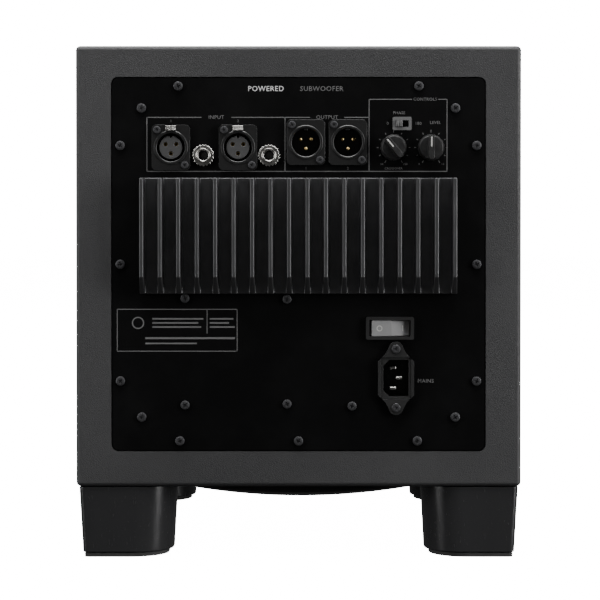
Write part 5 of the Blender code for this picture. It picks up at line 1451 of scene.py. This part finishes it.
there = at_socket("iec_inlet")
right = [(0.01225, -0.0115), (0.01225, 0.0115), (0.00725, 0.0165)]
ear = arc((0.0, EAR_REACH), 0.005, 10, 170, 14)
upper = right[1:] + ear + [(-x, y) for x, y in right[:0:-1]]
outline = upper + [(-x, -y) for x, y in upper]
well = [(0.0086, -0.0126), (0.0086, 0.0126), (-0.0046, 0.0126), (-0.0086, 0.0086), (-0.0086, -0.0086),
        (-0.0046, -0.0126)]
flange = cut_plate([outline, rounded((0.0206, 0.0286), 0.0013)], FLANGE_LOW, INLET_FACE)
case = cut_plate([rounded(INLET_BODY, 0.0012), well], -0.0150, INLET_FACE - 0.0006)
well_floor = cut_plate([rounded(INLET_BODY, 0.0012)], INLET_BACK, INLET_WELL_FLOOR)
piece = stand_in("inlet_moulding", move(joined([flange, case, well_floor]), there), moulded_black, "cabinet",
                 "iec_inlet")
softened(piece, 0.0006, 3)
wide, thick = (size / 2 for size in BLADE_SIZE)
blades = [slab((x - wide, y - thick, INLET_WELL_FLOOR - 0.001), (x + wide, y + thick, -0.0007))
          for x, y in BLADES]
piece = stand_in("inlet_pins", move(joined(blades), there), nickel, "cabinet")
softened(piece, 0.0006, 2)
ear_seats = [(0.0, side * EAR_REACH, INLET_FACE - 0.0002) for side in (-1, 1)]
ear_screws = screws_at(ear_seats, EAR_SCREW, there, 47.0)
stand_in("inlet_screws", ear_screws, black_zinc, "cabinet")

# Electronics ================================================================================
# Behind the plate: a mains transformer of stacked steel with a copper winding under tape, a
# power board with two large capacitors, and a small board soldered to the sockets.

laminated, here = new_material("varnished_laminations", Metallic=0.7, Specular_IOR_Level=0.5)
sheets = (here.part(1) * (2 * math.pi / 0.0007)).sine() * 0.5 + 0.5
varnish = here.noise(0.006, 4.0)
paint(laminated, Base_Color=varnish.between_colours((0.060, 0.055, 0.050), (0.130, 0.115, 0.100)),
      Roughness=sheets * 0.15 + 0.36, Normal=sheets.bump(0.00012, 0.7))
dress("transformer_core", laminated)

winding_tape, here = new_material("winding_tape", Specular_IOR_Level=0.45)
wraps = (here.part(2) * (2 * math.pi / 0.009)).sine().absolute().between(0.0, 0.12)
crinkle = here.noise(0.003, 4.0, 0.6)
paint(winding_tape, Base_Color=crinkle.between_colours((0.36, 0.26, 0.06), (0.52, 0.40, 0.12)),
      Roughness=crinkle * 0.2 + 0.30, Normal=(wraps + crinkle * 0.4).bump(0.00015, 0.6))
dress("transformer_winding", winding_tape)

board_fibre, here = new_material("circuit_board", Specular_IOR_Level=0.5)
islands = here.cells(0.009, "DISTANCE_TO_EDGE", randomness=0.7).between(0.06, 0.075)
weave = here.noise(0.0006, 3.0)
tint = (islands * 0.8 + weave * 0.2).between_colours((0.008, 0.050, 0.020), (0.020, 0.105, 0.045))
paint(board_fibre, Base_Color=tint, Roughness=weave * 0.12 + islands * 0.08 + 0.28,
      Normal=islands.bump(0.00006, 0.5))
for node in ("amp_board", "input_board"):
    dress(node, board_fibre)

cap_sleeve, here = new_material("capacitor_sleeve", Specular_IOR_Level=0.5)
shrink = here.stretched((1.0, 0.2, 1.0)).noise(0.002, 4.0)
stripe = (here.part(0) * (math.pi / 0.021)).sine().absolute().between(0.96, 0.97)
paint(cap_sleeve, Base_Color=stripe.between_colours((0.010, 0.014, 0.040), (0.30, 0.31, 0.34)),
      Roughness=shrink * 0.15 + 0.24, Normal=shrink.bump(0.00004, 0.5))
for number in (1, 2):
    node = f"reservoir_cap_{number}"
    low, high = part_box(node)
    radius = (high.x - low.x) / 2
    body_length = high.y - low.y
    can = [(0.0, 0.0), (radius - 0.0012, 0.0), (radius - 0.0002, 0.0010), (radius, 0.0035),
           (radius, body_length * 0.84), (radius - 0.0011, body_length * 0.87),
           (radius - 0.0011, body_length * 0.89), (radius, body_length * 0.92),
           (radius, body_length - 0.0012), (radius - 0.0012, body_length), (radius - 0.0016, body_length),
           (radius - 0.0020, body_length - 0.0006), (0.0, body_length - 0.0006)]
    upright = (Matrix.Translation(((low.x + high.x) / 2, high.y, (low.z + high.z) / 2))
               @ Matrix.Rotation(math.radians(90), 4, "X"))
    stand_in(f"capacitor_{number}", move(spun(can, 64), upright), cap_sleeve, "cabinet", node,
             smooth=40.0)

component_black = grained("component_black", (0.012, 0.012, 0.013), (0.070, 0.060, 0.045), (0.0006, 3.0, 0.6),
                          (0.011, 2.0), (0.34, 0.2), (0.00003, 0.5), Specular_IOR_Level=0.45)
BOARD_PARTS = {
    "amp_board": ((-0.088, -0.022), (-0.088, 0.004), (-0.070, 0.021), (-0.064, -0.010), (0.040, 0.014),
                  (0.045, -0.016), (0.058, 0.004), (0.062, 0.022), (0.086, 0.018), (0.088, -0.002)),
    "input_board": ((-0.078, 0.006), (-0.060, -0.008), (-0.035, 0.004), (-0.012, -0.006), (0.014, 0.007),
                    (0.038, -0.004), (0.062, 0.008), (0.080, -0.006))}
for board, places in BOARD_PARTS.items():
    low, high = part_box(board)
    middle = Vector(((low.x + high.x) / 2, high.y + 0.0001, (low.z + high.z) / 2))
    shapes = []
    for index, (across, up) in enumerate(places):
        half = 0.0024 + 0.0011 * (index % 3)
        tall = 0.004 + 0.003 * (index % 2)
        if index % 2:
            shapes.append(slab((across - half * 1.6, up - half, 0.0), (across + half * 1.6, up + half, tall)))
        else:
            drum = spun([(0.0, 0.0), (half, 0.0), (half, tall + 0.003), (half * 0.86, tall + 0.0036),
                         (0.0, tall + 0.0036)], 20)
            shapes.append(move(drum, Matrix.Translation((across, up, 0.0))))
    out = Matrix.Translation(middle) @ Matrix.Rotation(math.radians(-90), 4, "X")
    piece = stand_in(f"{board}_components", move(joined(shapes), out), component_black, "cabinet")
    softened(piece, 0.0003, 2)
